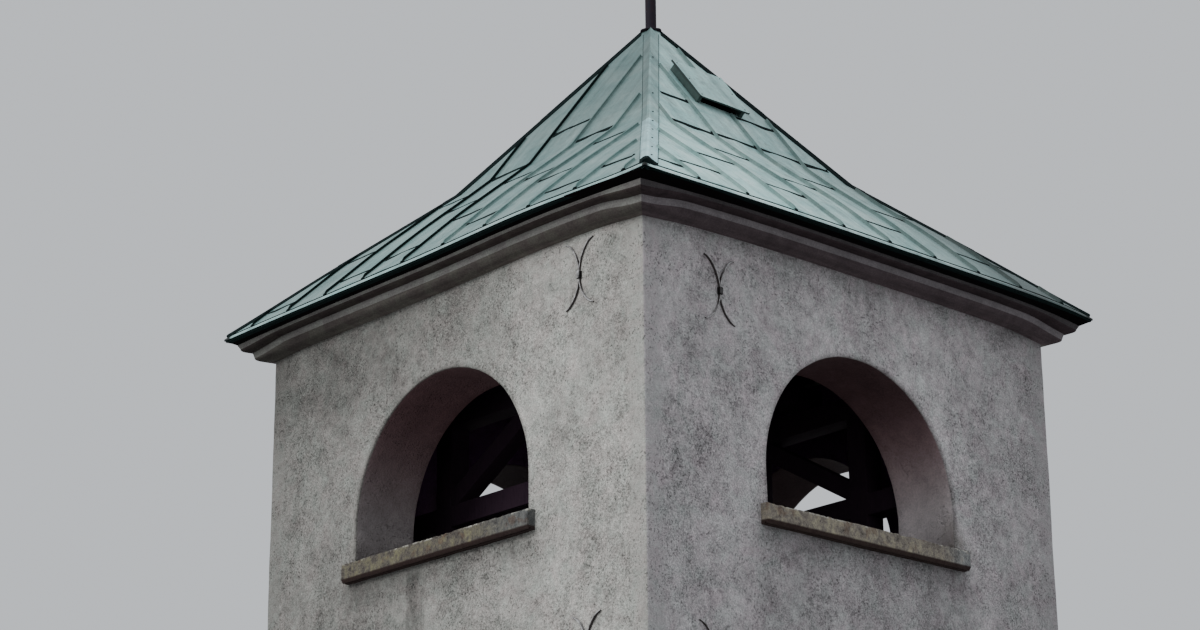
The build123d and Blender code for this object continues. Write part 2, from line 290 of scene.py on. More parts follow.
# Points nearer than this become one, and levels nearer than that are the same
WELD = 0.0002
SAME_LEVEL = 0.0005


def from_node(node):
    """The shape of a CAD node, with its flat faces whole again."""
    bm = bmesh.new()
    bm.from_mesh(nodes[node].data)
    bmesh.ops.remove_doubles(bm, verts=bm.verts, dist=0.0001)
    bmesh.ops.dissolve_limit(bm, angle_limit=math.radians(1), verts=bm.verts, edges=bm.edges)
    return bm


def into_bmesh(form):
    """A form as one mesh, welded where its rows meet."""
    bm = bmesh.new()
    points = [bm.verts.new(p) for p in form.points]
    for face, tag in zip(form.faces, form.tags):
        bm.faces.new([points[i] for i in face]).material_index = tag
    bmesh.ops.remove_doubles(bm, verts=bm.verts, dist=WELD)
    return bm


def pour(source, target):
    """Adds one mesh to another, unwelded, and frees it."""
    mesh = bpy.data.meshes.new("poured")
    source.to_mesh(mesh)
    source.free()
    target.from_mesh(mesh)
    bpy.data.meshes.remove(mesh)


def shift_points(bm, shift):
    """Moves each point by what shift says for its place and the way its surface faces."""
    bm.normal_update()
    moves = [(v, shift(v.co.copy(), v.normal.copy())) for v in bm.verts]
    for v, move in moves:
        v.co += move


# How far the eaves of each face bow up between the corners, and how flat each half of the bow is
BOW = ((0.019, 5, 5), (0.054, 3, 6), (0.020, 4, 4), (0.030, 6, 6))
# The bow sets in this far from the axis and this far under the wall top
BOW_INSIDE = 1.3
BOW_FADE = 0.38
# The front's extra hump: its place along the face, its half length and its height
HUMP = (1.35, 1.45, 0.021)


def nearest_face(x, y):
    """The face that a place lies towards, and the place's distance from the axis in that direction."""
    reach = max(abs(x), abs(y))
    if abs(y) == reach:
        return (FRONT if y < 0 else BACK), reach
    return (RIGHT if x > 0 else LEFT), reach


def settled(place):
    """The small rise of the wall head, cornice and eaves between the corners, which have sunk."""
    x, y, z = place
    quarter, reach = nearest_face(x, y)
    if z < WALL_TOP - BOW_FADE or reach < BOW_INSIDE:
        return 0.0
    along = x if quarter in (FRONT, BACK) else y
    rise, low_power, high_power = BOW[quarter]
    share = abs(along) / reach
    bow = rise * (1.0 - share ** (low_power if along < 0.0 else high_power))
    if quarter == FRONT:
        middle, half, height = HUMP
        bow += height * max(0.0, 1.0 - ((along - middle) / half) ** 2) ** 2 * (1.0 - share ** 8)
    return bow * ease(reach - BOW_INSIDE) * ease((z - WALL_TOP + BOW_FADE) / BOW_FADE)


# How far the sheets droop at the eaves: at the corner before each face, and at its middle
CORNER_DROOP = (0.022, -0.008, 0.016, 0.012)
MIDDLE_DROOP = (0.033, 0.022, 0.014, 0.022)
# The droop sets in this far from the axis, and is full after this length
DROOP_INSIDE = 1.9
DROOP_LENGTH = 0.7


def droop(place):
    """The sheets' sag over the last boards, where the eaves have dropped below the straight slope."""
    x, y, _ = place
    quarter, reach = nearest_face(x, y)
    if reach < DROOP_INSIDE:
        return 0.0
    along = (x, y, -x, -y)[quarter]
    corner = CORNER_DROOP[quarter if along < 0.0 else (quarter + 1) % 4]
    middle = MIDDLE_DROOP[quarter]
    sag = middle + (corner - middle) * (abs(along) / reach) ** 5
    return sag * ease((reach - DROOP_INSIDE) / DROOP_LENGTH)


# The roof's near corner is drawn this far back along the right face, fading out over this width
CORNER_PULL = 0.045
CORNER_WIDTH = 1.5


def drawn_back(place):
    """How far the roof near its near corner lies back along the right face."""
    x, y, z = place
    if z < EAVES + 0.004 or x < 0.0 or y > 0.0:
        return 0.0
    near_hip = ease(1.0 - abs(x + y) / CORNER_WIDTH)
    return CORNER_PULL * near_hip * max(x, -y) / EAVES_HALF


def finished(name, bm, finishes, slot, *replaced, sharp=38):
    """Makes a piece of a mesh: it rides on the tower and stands for CAD nodes, which are hidden. The slot is
    only read to let roof-sheet pieces droop at the eaves.

    Edges that turn by more than sharp, in degrees, stay crisp.
    """
    for v in bm.verts:
        sag = droop(v.co) if slot == "roof_sheet" else 0.0
        v.co += Vector((0.0, drawn_back(v.co), settled(v.co) - sag))
    bmesh.ops.recalc_face_normals(bm, faces=bm.faces)
    mesh = bpy.data.meshes.new(name)
    bm.to_mesh(mesh)
    bm.free()
    mesh.shade_smooth()
    mesh.set_sharp_from_angle(angle=math.radians(sharp))
    piece = bpy.data.objects.new(name, mesh)
    bpy.context.scene.collection.objects.link(piece)
    for finish in finishes:
        mesh.materials.append(finish)
    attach(piece, "root")
    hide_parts(*replaced)


# Walls

# The size of a mesh cell on the belfry's walls and on the plainer walls below
CELL = 0.06
LOWER_CELL = 0.09
# Radius of the worn arris round an opening and of the tower's corners
ARRIS = 0.012
CORNER = 0.018
# How wide the mesh follows an opening's outline, and its rings as quarters of that width
SURROUND = 0.24
SURROUND_RINGS = (4, 3, 2, 1)
# The depth of the wall's outer and inner skin, and how far each runs either way along its face
SKINS = ((0.0, HALF - CORNER), (WALL, INNER))
QUARTER_STEPS = (0.0, 30.0, 60.0, 90.0)


def on_face(quarter, along, depth, height):
    """A point on a face of the tower: along it, into the wall and up."""
    return turned((along, depth - HALF, height), quarter)


def patch(form, quarter, depth, places, levels):
    """A flat stretch of wall at this depth, with a point at each place along it on each level."""
    form.rows([[on_face(quarter, s, depth, z) for s in places] for z in levels])


def frame_path(centre, half, foot, top, step):
    """Points round three sides of an opening's surround, from one foot over the top to the other."""
    rise = even(foot, top, step)
    left = [(centre - half, z) for z in rise]
    right = [(centre + half, z) for z in reversed(rise)]
    over = [(s, top) for s in even(centre - half, centre + half, step)]
    return left + over[1:-1] + right


def arch_edge(centre, point):
    """The arch's outline nearest a surround's point, and the way out of the opening there."""
    along, height = point[0] - centre, point[1]
    if height <= ARCH_SPRING:
        side = math.copysign(1.0, along)
        return (centre + side * ARCH_RADIUS, height), (side, 0.0)
    out = Vector((along, height - ARCH_SPRING)).normalized()
    return (centre + out.x * ARCH_RADIUS, ARCH_SPRING + out.y * ARCH_RADIUS), (out.x, out.y)


def door_edge(centre, point):
    """The doorway's outline for a surround's point, and the way out of the opening there."""
    scale = DOOR_HALF / (DOOR_HALF + SURROUND)
    along = (point[0] - centre) * scale
    height = point[1] * DOOR_TOP / (DOOR_TOP + SURROUND)
    out = Vector((0.0, 0.0))
    if DOOR_HALF - abs(along) < 0.001:
        out.x = math.copysign(1.0, along)
    if DOOR_TOP - height < 0.001:
        out.y = 1.0
    out.normalize()
    return (centre + along, height), (out.x, out.y)


def open_skin(form, quarter, depth, reach, levels, centre, surround, edge, foot, step):
    """One skin of a wall round an opening. Returns the outline, with the way out at each of its points."""
    half, top = surround
    path = frame_path(centre, half, foot, top, step)
    outline = [edge(centre, p) for p in path]
    rings = []
    for k in SURROUND_RINGS:
        rings.append([Vector(q).lerp(Vector(p), k / 4) for p, (q, _) in zip(path, outline)])
    rings.append([Vector(q) + Vector(n) * ARRIS for q, n in outline])
    form.rows([[on_face(quarter, p.x, depth, p.y) for p in ring] for ring in rings])
    for a, b in ((-reach, centre - half), (centre + half, reach)):
        patch(form, quarter, depth, even(a, b, step), levels)
    above = [z for z in levels if z > top - SAME_LEVEL]
    patch(form, quarter, depth, even(centre - half, centre + half, step), above)
    below = [z for z in levels if z < foot + SAME_LEVEL]
    if len(below) > 1:
        middle = even(centre - ARCH_RADIUS, centre + ARCH_RADIUS, step)
        side = [ARCH_RADIUS + SURROUND * k / 4 for k in SURROUND_RINGS] + [ARCH_RADIUS + ARRIS]
        places = [centre - s for s in side] + middle + [centre + s for s in reversed(side)]
        patch(form, quarter, depth, places, below)
    return outline


def reveal(form, quarter, outline, step):
    """The opening's sides through the wall, with worn arrises. Returns the depths of its rows."""
    places = []
    for turn in QUARTER_STEPS:
        sink = math.radians(turn)
        places.append((ARRIS * (1 - math.sin(sink)), ARRIS * (1 - math.cos(sink))))
    inside = [(out, WALL - deep) for out, deep in reversed(places)]
    through = [(0.0, deep) for deep in even(ARRIS, WALL - ARRIS, step)[1:-1]]
    rows = []
    for out, deep in places + through + inside:
        rows.append([on_face(quarter, q[0] + n[0] * out, deep, q[1] + n[1] * out) for q, n in outline])
    form.rows(rows)
    return [deep for _, deep in places + through + inside]


def corner(form, quarter, levels):
    """The rounded arris between a face and the next one."""
    rows = []
    for z in levels:
        row = []
        for turn in QUARTER_STEPS:
            angle = math.radians(turn - 90)
            x = HALF - CORNER + CORNER * math.cos(angle)
            y = -HALF + CORNER + CORNER * math.sin(angle)
            row.append(turned((x, y, z), quarter))
        rows.append(row)
    form.rows(rows)


def close_caps(bm, *levels):
    """Fills the wall's flat top and foot, and the pinholes where arrises meet them."""
    for level in levels:
        open_edges = [e for e in bm.edges if e.is_boundary]
        rim = [e for e in open_edges if all(abs(v.co.z - level) < SAME_LEVEL for v in e.verts)]
        bmesh.ops.triangle_fill(bm, edges=rim, use_beauty=True)
    bmesh.ops.holes_fill(bm, edges=[e for e in bm.edges if e.is_boundary], sides=10)


def hand_laid(place, facing):
    """How far a trowelled surface strays from its plane."""
    big = noise.noise(place * 1.15 + Vector((3.1, 7.7, 1.3))) * 0.0065
    middle = noise.noise(place * 3.7) * 0.0030
    small = noise.noise(place * 11.0) * 0.0012
    move = facing * (big + middle + small)
    if min(abs(place.z), abs(place.z - STAGE), abs(place.z - WALL_TOP)) < 0.001:
        move.z = 0.0
    return move


def plastered(name, form, levels, finish, walls):
    """Closes a stage of walls at its foot and top, and gives it the trowel's unevenness."""
    bm = into_bmesh(form)
    close_caps(bm, *levels)
    bmesh.ops.recalc_face_normals(bm, faces=bm.faces)
    shift_points(bm, hand_laid)
    finished(name, bm, [finish], "wall_render", *walls)


def belfry_stage(finish):
    """The belfry's four walls with their arched openings."""
    form = Form()
    top = ARCH_SPRING + ARCH_RADIUS + SURROUND
    side = even(SILL_FOOT, top, CELL)
    levels = even(STAGE, SILL_FOOT, CELL)[:-1] + side + even(top, WALL_TOP, CELL)[1:]
    surround = (ARCH_RADIUS + SURROUND, top)
    for quarter, centre in enumerate(ARCH_SHIFT):
        for depth, reach in SKINS:
            opening = (centre, surround, arch_edge, SILL_FOOT, CELL)
            outline = open_skin(form, quarter, depth, reach, levels, *opening)
        depths = reveal(form, quarter, outline, CELL)
        bed = even(centre - ARCH_RADIUS, centre + ARCH_RADIUS, CELL)
        through = [0.0] + depths[3:-3] + [WALL]
        form.rows([[on_face(quarter, s, deep, SILL_FOOT) for s in bed] for deep in through])
        corner(form, quarter, levels)
    walls = [name + "_belfry_wall" for name in FACES]
    plastered("belfry_stage_render", form, (STAGE, WALL_TOP), finish, walls)


def lower_stage(finish):
    """The walls below the belfry, with the doorway in the back one."""
    form = Form()
    top = DOOR_TOP + SURROUND
    levels = even(0.0, top, LOWER_CELL) + even(top, STAGE, LOWER_CELL)[1:]
    surround = (DOOR_HALF + SURROUND, top)
    for quarter in range(4):
        for depth, reach in SKINS:
            if quarter == BACK:
                opening = (0.0, surround, door_edge, 0.0, LOWER_CELL)
                outline = open_skin(form, quarter, depth, reach, levels, *opening)
            else:
                patch(form, quarter, depth, even(-reach, reach, LOWER_CELL), levels)
        if quarter == BACK:
            reveal(form, quarter, outline, CELL)
        corner(form, quarter, levels)
    walls = ["front_lower_wall", "right_lower_wall", "left_lower_wall"]
    walls += ["back_lower_wall_left", "back_lower_wall_right", "back_wall_over_door"]
    plastered("lower_stage_render", form, (0.0, STAGE), finish, walls)


# Cornice

# The order of its finishes
OVOLO, FILLET, UPPER_OVOLO, WALL_RENDER = range(4)
# Five marks of the section, out from the wall and up from its top: the lower ovolo's foot and end, the
# upper one's foot and end, and the top. The moulding is a little flatter towards the corners.
CORNICE_CORNER = ((0.0003, 0.001), (0.125, 0.042), (0.139, 0.092), (0.213, 0.126), (0.2325, 0.1615))
CORNICE_MIDDLE = ((0.0015, 0.008), (0.125, 0.078), (0.139, 0.126), (0.213, 0.147), (0.2325, 0.1620))


def cornice_line(marks):
    """The moulding's section through five marks, from the wall out: two ovolos, each under a fillet."""
    line = [(0.0, 0.0, WALL_RENDER)]
    for foot, end, mark in ((marks[0], marks[1], OVOLO), (marks[2], marks[3], UPPER_OVOLO)):
        wide, rise = end[0] - foot[0], end[1] - foot[1]
        for turn in even(0.0, 90.0, 11.25):
            swell = math.radians(turn)
            line.append((foot[0] + wide * math.sin(swell), foot[1] + rise * (1 - math.cos(swell)), mark))
        line[-1] = (*line[-1][:2], FILLET)
        line.append((end[0] + 0.0008, end[1] + 0.003, FILLET))
        if mark == OVOLO:
            line.append((marks[2][0] - 0.001, marks[2][1] - 0.002, FILLET))
    out, rise = marks[4]
    crest = [(out, rise), (out - 0.002, CORNICE_RISE - 0.0002), (out - 0.008, CORNICE_RISE)]
    bed = [(-CORNICE_BED, CORNICE_RISE), (-CORNICE_BED, 0.0), (0.0, 0.0)]
    return line + [(*point, FILLET) for point in crest + bed]


def moulded_cornice(finishes):
    """The cornice run round the tower, mitred at its corners and uneven as run by hand."""
    form = Form()
    columns = even(-1.0, 1.0, 0.026)
    middle, end = cornice_line(CORNICE_MIDDLE), cornice_line(CORNICE_CORNER)
    for quarter in range(4):
        rows = []
        for (out_a, rise_a, _), (out_b, rise_b, _) in zip(middle, end):
            row = []
            for t in columns:
                blend = ease((abs(t) - 0.80) / 0.18)
                out = out_a + (out_b - out_a) * blend
                rise = rise_a + (rise_b - rise_a) * blend
                row.append(turned((t * (HALF + out), -HALF - out, WALL_TOP + rise), quarter))
            rows.append(row)
        for below, above, (_, _, tag) in zip(rows, rows[1:], middle):
            form.rows([below, above], tag=tag)
    bm = into_bmesh(form)
    bmesh.ops.recalc_face_normals(bm, faces=bm.faces)

    def run_by_hand(place, facing):
        reach = max(abs(place.x), abs(place.y)) - HALF
        if reach < 0.004:
            return Vector()
        wander = noise.noise(Vector((place.x, place.y, 0)) * 1.7) * 0.003
        wander += noise.noise(place * 16.0) * 0.0014
        chip = min(0.0, noise.noise(place * 7.0 + Vector((5, 1, 2))) + 0.42) * 0.012
        return facing * (wander + chip)

    shift_points(bm, run_by_hand)
    finished("moulded_cornice", bm, finishes, "cornice_plaster", *(name + "_cornice" for name in FACES))


# Sills

def sill(quarter, finish):
    """A stone sill: a bed through the wall and a nosing with a broken upper arris and a drip groove."""
    centre = ARCH_SHIFT[quarter]
    form = Form()
    foot, nose, out = SILL_FOOT, SILL_TOP, -SILL_REACH
    fall = SILL_FALL / (WALL + SILL_REACH)
    groove = [(-0.038, foot), (-0.039, foot + 0.013), (-0.051, foot + 0.013), (-0.052, foot)]
    section = [(0.0, foot), *groove, (-0.060, foot)]
    section += [(out + 0.017, foot + 0.002), (out + 0.001, foot + 0.026), (out, foot + 0.030)]
    section += [(out, z) for z in even(foot + 0.045, nose - 0.025, 0.015)]
    section += [(out, nose - 0.01), (out + 0.004, nose - 0.003), (out + 0.01, nose)]
    section += [(deep, nose + (deep - out) * fall) for deep in (-0.05, -0.025, 0.0)]
    reach = ARCH_RADIUS + SILL_EAR
    ends = [-reach, -reach + 0.003, -reach + 0.01]
    places = ends + even(-reach + 0.03, reach - 0.03, 0.013) + [-e for e in reversed(ends)]
    rings = []
    for s in places:
        pull = max(0.0, 1.0 - (reach - abs(s)) / 0.009) * 0.006
        ring = []
        for deep, z in section:
            ring.append(on_face(quarter, centre + s, deep + pull if deep < -0.06 else deep, z))
        rings.append(ring)
    form.bar(rings)
    bed = [(0.0, foot)] + [(deep, nose + (deep - out) * fall) for deep in even(0.0, WALL - 0.02, 0.06)]
    bed += [(WALL - 0.01, nose + SILL_FALL), (WALL, nose + SILL_FALL - 0.008), (WALL, foot)]
    rings = []
    for s in even(-ARCH_RADIUS, ARCH_RADIUS, 0.05):
        rings.append([on_face(quarter, centre + s, deep, z) for deep, z in bed])
    form.bar(rings)
    bm = into_bmesh(form)
    bmesh.ops.recalc_face_normals(bm, faces=bm.faces)

    def weathered(place, facing):
        local = turned(place, -quarter)
        rough = noise.noise(place * 9.0) * 0.0025 + noise.noise(place * 31.0) * 0.0018
        move = facing * rough
        near_front = ease((-local.y - HALF - 0.045) / 0.03)
        near_top = ease((place.z - SILL_TOP + 0.03) / 0.025)
        patches = max(0.0, noise.noise(place * 3.1 + Vector((7, 1, 4))) + 0.08)
        broken = max(0.0, noise.noise(place * 29.0 + Vector((2, 9, 4))) + 0.15) * patches
        bite = near_front * near_top * broken
        move += turned((0, 1, 0), quarter) * bite * 0.05 - Vector((0, 0, 1)) * bite * 0.034
        return move

    shift_points(bm, weathered)
    name = FACES[quarter] + "_sill"
    finished(name + "_stone", bm, [finish], "sill_stone", name, sharp=50)


# Roof

# The order of the slopes' finishes. The near-black finish also paints shade and shadow under the drip, in
# the lap gap, under the cross folds' lips and in the hatch hole.
SEAM, BLACK_SEAM_CREST, TAR_AND_SHADE, TRAY, DRIP = range(5)
# How near to the axis the sheets and their boards end, round the pole
ROOF_EYE = 0.057


def roof_height(distance):
    """The level of the sheets at this distance from the axis."""
    if distance > KINK_HALF:
        return EDGE_TOP + (EAVES_HALF - distance) * LOW_PITCH
    return APEX - distance * HIGH_PITCH


def on_slope(along, distance, lift=0.0):
    """A point on the front slope, lifted square to its sheets."""
    pitch = LOW_PITCH if distance > KINK_HALF else HIGH_PITCH
    length = math.hypot(1.0, pitch)
    return Vector((along, -distance - lift * pitch / length, roof_height(distance) + lift / length))


def seam_places(quarter):
    """Where a face's standing seams stand, along it."""
    spacing, first = SEAMS[quarter]
    return [first + spacing * k for k in range(-6, 7)]


def seam_end(place):
    """How near to the axis a seam at this place runs before it meets the hip's cap."""
    return abs(place) + 0.007 + HIP_CAP_HALF * math.sqrt(2)


# Distances from the axis: where the sheets end over the drip, where the seams end, and where the boards'
# underside steps up behind the drip
SHEET_FOOT = 2.575
SEAM_FOOT = 2.582
DRIP_BACK = 2.6
# The folded joints across each face's sheets: for each tray its joints' distances from the axis
CROSS_SEAMS = (
    {
        -4: (2.41,), -3: (1.95,), -2: (1.36, 2.41), -1: (1.195, 1.67, 2.32), 0: (0.95, 1.5, 2.05),
        1: (1.16, 1.715, 2.33), 2: (1.44, 2.02), 3: (2.41,), 4: (2.3,),
    },
    {
        -5: (2.4,), -4: (2.276,), -3: (1.91,), -2: (0.868, 1.16, 1.57, 2.18), -1: (1.145, 1.81),
        0: (0.846, 1.13, 1.52, 2.245), 1: (1.12, 1.80), 2: (1.62, 2.27), 3: (2.2,),
    },
    {
        -4: (2.36,), -3: (1.88,), -2: (1.42, 2.2), -1: (1.14, 1.76), 0: (0.9, 1.45, 2.28),
        1: (1.15, 1.8), 2: (1.5, 2.3), 3: (2.1,),
    },
    {
        -4: (2.3,), -3: (1.97,), -2: (1.3, 2.1), -1: (1.15, 1.7, 2.33), 0: (0.87, 1.54, 2.2),
        1: (1.14, 1.83), 2: (1.7, 2.3), 3: (2.25,),
    },
)


def sheet_swell(quarter, along, distance):
    """How the sheets swell and dip between their seams, in metres."""
    spacing, first = SEAMS[quarter]
    part = (along - first) / spacing
    tray = math.floor(part)
    across = math.sin(math.pi * (part - tray)) ** 2
    slow = noise.noise(Vector((tray * 3.7 + quarter * 11.0, distance * 1.9, 0.5)))
    quick = noise.noise(Vector((along * 5.0, distance * 5.0, quarter * 3.0)))
    return across * (0.0035 * slow + 0.0012) + 0.0009 * quick


# The eaves edge from its foot up: a welt set back, painted black as the shade under the drip, then the
# sheet's own turned-down drip
DRIP_EDGE = (
    (EAVES_HALF - 0.010, -0.031), (EAVES_HALF - 0.008, -0.021), (EAVES_HALF - 0.001, -0.021),
    (EAVES_HALF, -0.019), (EAVES_HALF, -0.006), (EAVES_HALF - 0.003, -0.004),
)
# The joint where the sheets lap over the drip, painted black as the shadow in its gap, from the drip's top
# back under the sheets
LAP_JOINT = (
    (SHEET_FOOT + 0.020, -0.0045), (SHEET_FOOT - 0.008, -0.0065),
    (SHEET_FOOT - 0.008, -0.0035), (SHEET_FOOT + 0.002, -0.0025),
)


def roof_sheets(quarter, finishes):
    """One slope: boards and sheets as a closed body, with folded seams, cross folds and a drip edge."""
    form = Form()
    columns = even(-1.0, 1.0, 0.03)
    low = even(SHEET_FOOT - 0.01, KINK_HALF + 0.03, 0.05)
    high = even(KINK_HALF - 0.03, ROOF_EYE, 0.05)
    rows = [*DRIP_EDGE, *LAP_JOINT]
    rows += [(d, None) for d in [SHEET_FOOT + 0.003, SHEET_FOOT - 0.001] + low + [KINK_HALF] + high]
    top = []
    for distance, lift in rows:
        line = []
        for along in [t * distance for t in columns]:
            rise = sheet_swell(quarter, along, min(distance, SHEET_FOOT)) if lift is None else lift
            if distance > SHEET_FOOT + 0.004:
                line.append(Vector((along, -distance, roof_height(distance) + rise)))
            else:
                line.append(on_slope(along, distance, rise))
        top.append(line)
    under = []
    boards = even(ROOF_EYE, KINK_HALF, 0.3) + even(KINK_HALF, BOARDS_HALF, 0.3)[1:]
    for distance in boards + [DRIP_BACK, EAVES_HALF - 0.011]:
        level = max(EAVES, roof_height(distance) - ROOF_DROP) + (0.008 if distance >= DRIP_BACK else 0.0)
        under.append([Vector((t * distance, -distance, level)) for t in columns])
    body = top + under
    drip = range(3, len(DRIP_EDGE))
    trays = range(len(DRIP_EDGE) + len(LAP_JOINT) - 1, len(top) - 1)
    for k, (line, following) in enumerate(zip(body, body[1:] + body[:1])):
        tag = DRIP if k in drip else TRAY if k in trays else TAR_AND_SHADE
        form.rows([line, following], tag=tag)
    for side in (0, -1):
        form.add([line[side] for line in body], [tuple(range(len(body)))], TRAY)
    bm = into_bmesh(form.turn(quarter))
    if quarter == RIGHT:
        hatch_hole(bm)
    pour(into_bmesh(seams_of_slope(quarter)), bm)
    name = FACES[quarter]
    finished(name + "_roof_sheets", bm, finishes, "roof_sheet", name + "_roof_slope", sharp=30)


def upright_of(distance):
    """The way out of the sheets at a distance from the axis, eased where the pitch changes."""
    low = Vector((0.0, -LOW_PITCH, 1.0)).normalized()
    high = Vector((0.0, -HIGH_PITCH, 1.0)).normalized()
    return high.lerp(low, ease((distance - KINK_HALF) / 0.06 + 0.5)).normalized()


def above_sheets(along, distance, lift):
    """A point at this height square to the sheets, on the front slope."""
    return Vector((along, -distance, roof_height(distance))) + upright_of(distance) * lift


# A standing seam's section, across it and up from the sheets: a folded welt on a thinner neck
SEAM_PROFILE = (
    (-0.014, -0.005), (-0.009, 0.004), (-0.006, 0.013), (-0.0065, 0.0215), (-0.0045, 0.0252), (0.0, 0.026),
    (0.0045, 0.0252), (0.0075, 0.0220), (0.0075, 0.0170), (0.0055, 0.013), (0.0085, 0.004), (0.014, -0.005),
)
SEAM_HEIGHT = 0.026
# The spans of the section that the welt takes up
SEAM_CREST = range(2, 10)
# From a seam's foot up: how far, the share of its height, and how far it leans aside
SEAM_PINCH = ((0.0, 0.35, 0.010), (0.010, 0.55, 0.009), (0.024, 0.80, 0.006), (0.042, 1.0, 0.0))


def standing_seam(form, quarter, place, foot, end, crest_tag):
    """One folded seam from its foot up to its end, pinched flat and bent over at the foot."""
    stops = [(foot - run, size, lean) for run, size, lean in SEAM_PINCH]
    start = foot - 0.06
    bends = [start, KINK_HALF, end] if end < KINK_HALF < start else [start, end]
    for a, b in zip(bends, bends[1:]):
        stops += [(d, 1.0, 0.0) for d in even(a, b, 0.06)[:-1]]
    stops.append((end, 1.0, 0.0))
    rings = []
    for distance, size, lean in stops:
        wobble = noise.noise(Vector((place * 7.0, distance * 2.3, quarter * 5.0)))
        ring = []
        for across, lift in SEAM_PROFILE:
            rise = max(0.0, lift) / SEAM_HEIGHT
            shift = across + (lean + wobble * 0.004) * rise + wobble * 0.002
            ring.append(above_sheets(place + shift, distance, lift * size * (1.0 - 0.06 * abs(wobble))))
        rings.append([turned(p, quarter) for p in ring])
    form.strips(rings, [crest_tag if k in SEAM_CREST else SEAM for k in range(len(SEAM_PROFILE))])


# A knot's half round section and how it swells along its length, as shares of its size
TAB_SECTION = ((-0.5, -0.3), (-0.42, 0.6), (-0.15, 1.0), (0.2, 0.95), (0.45, 0.55), (0.5, -0.3))
TAB_SWELL = ((-0.5, 0.45), (-0.3, 0.9), (0.0, 1.0), (0.3, 0.85), (0.5, 0.4))


def folded_tab(form, quarter, place, distance, size):
    """The dark knot where a seam's foot or a cross fold is turned over."""
    long, wide, high = size
    rings = []
    for part, swell in TAB_SWELL:
        ring = []
        for across, lift in TAB_SECTION:
            beside = place + across * wide * swell
            point = above_sheets(beside, distance - part * long, lift * high * swell)
            ring.append(turned(point, quarter))
        rings.append(ring)
    form.bar(rings, TAR_AND_SHADE)


# A cross fold and the dark strip under its lip, painted as its shadow: down the slope and up from the sheets
CROSS_FOLD = ((-0.013, -0.004), (-0.011, 0.0022), (0.002, 0.0052), (0.0062, 0.0046), (0.0068, -0.004))
CROSS_FOLD_SHADOW = ((0.0035, -0.004), (0.0035, 0.0056), (0.0085, 0.0052), (0.0250, 0.0026), (0.0275, -0.004))


def cross_seam(form, quarter, left, right, distance):
    """A flat folded joint between two sheets of one tray, with a dark strip under its lip painted as its
    shadow.
    """
    for profile, tag, uneven in ((CROSS_FOLD, TRAY, 0.0), (CROSS_FOLD_SHADOW, TAR_AND_SHADE, 1.0)):
        rings = []
        for s in even(left, right, 0.05):
            drift = noise.noise(Vector((s * 2.1, distance * 9.0, quarter * 4.0))) * 0.012
            thin = 1.0 - 0.35 * abs(noise.noise(Vector((s * 9.0, distance * 5.0, 2.0))))
            wide = 1.0 + uneven * noise.noise(Vector((s * 5.0, distance * 7.0, 9.0)))
            ring = []
            for run, lift in profile:
                point = above_sheets(s, distance + drift + run * wide, max(-0.004, lift * thin))
                ring.append(turned(point, quarter))
            rings.append(ring)
        form.bar(rings, tag)


# The shortest seam or joint worth folding, and how far a joint keeps from the hip
SHORTEST = 0.08
CAP_CLEAR = 0.115


def seams_of_slope(quarter):
    """Standing seams, cross folds and their knots, as bodies that lie on the sheets."""
    form = Form()
    for place in seam_places(quarter):
        end = seam_end(place)
        if end > SEAM_FOOT - SHORTEST:
            continue
        # The front slope's seams left of its middle and the back slope's right of it get black crests.
        black_crested = quarter == FRONT and place < 0.0 or quarter == BACK and place > 0.0
        spans = [(SEAM_FOOT, end)]
        if quarter == RIGHT and abs(place - HATCH_ALONG) < HATCH_WIDE / 2:
            spans = [(SEAM_FOOT, HATCH_LOW + 0.01), (HATCH_HIGH - 0.015, end)]
        for foot, top in spans:
            standing_seam(form, quarter, place, foot, top, BLACK_SEAM_CREST if black_crested else SEAM)
        folded_tab(form, quarter, place + 0.008, SEAM_FOOT - 0.004, (0.03, 0.032, 0.013))
    spacing, first = SEAMS[quarter]
    for tray, distances in CROSS_SEAMS[quarter].items():
        left, right = first + tray * spacing + 0.012, first + (tray + 1) * spacing - 0.012
        for distance in distances:
            reach = distance - CAP_CLEAR
            a, b = max(left, -reach), min(right, reach)
            if b - a < SHORTEST:
                continue
            cross_seam(form, quarter, a, b, distance)
            for end, inward in ((a, 0.008), (b, -0.008)):
                if noise.noise(Vector((end * 31.0, distance * 17.0, quarter))) > -0.15:
                    folded_tab(form, quarter, end + inward, distance, (0.018, 0.024, 0.009))
    return form


# Hip caps

# The order of their finishes
OLD_CAP, NEW_CAP, CAP_TAR_AND_SHADE, CAP_NAIL = range(4)
# Distances from the axis of the joints and nails of the near hip's caps, and of the others'
CAP_JOINTS = (0.062, 0.30, 0.72, 1.33, 1.77, 2.25, 2.575)
OLD_CAP_JOINTS = (0.062, 0.66, 1.26, 1.90, 2.600)
CAP_NAILS = (0.457, 0.932, 1.163, 1.40, 1.66, 1.91, 2.17, 2.39)
OLD_CAP_NAILS = (0.40, 0.95, 1.55, 2.15)
OLD_CAP_HALF = 0.056
# How far a cap lies over the next one down, and how far out the lowest may reach
CAP_OVERLAP = 0.035
CAP_LOWEST = 2.602
CAP_REACH = 2.611
# The near hip's caps lean aside as they go down, are bare metal beyond NEW_FROM, and gape at the eaves,
# where the cap's last stretch at the foot is painted black as the shade of its gape
CAP_DRIFT = 0.012
NEW_FROM = 1.4
CAP_MOUTH = 0.020
CAP_FOOT_SHADE_FROM = 2.565


def on_hip(distance, across, lift):
    """A point by the hip between the front and the right slope, across it in plan and lifted."""
    x = distance + across / math.sqrt(2)
    y = -distance + across / math.sqrt(2)
    reach = max(x, -y)
    return Vector((x, y, roof_height(reach) + lift))


# A cap's section from one edge over its roll to the other: share of its half width, and lift
CAP_EDGE = ((-1.0, -0.003), (-1.0, 0.0075), (-0.94, 0.0105))
CAP_FLANGE = ((-0.94, 0.0105), (-0.6, 0.0115), (-0.3, 0.0135), (-0.12, 0.0185), (0.0, 0.0205))


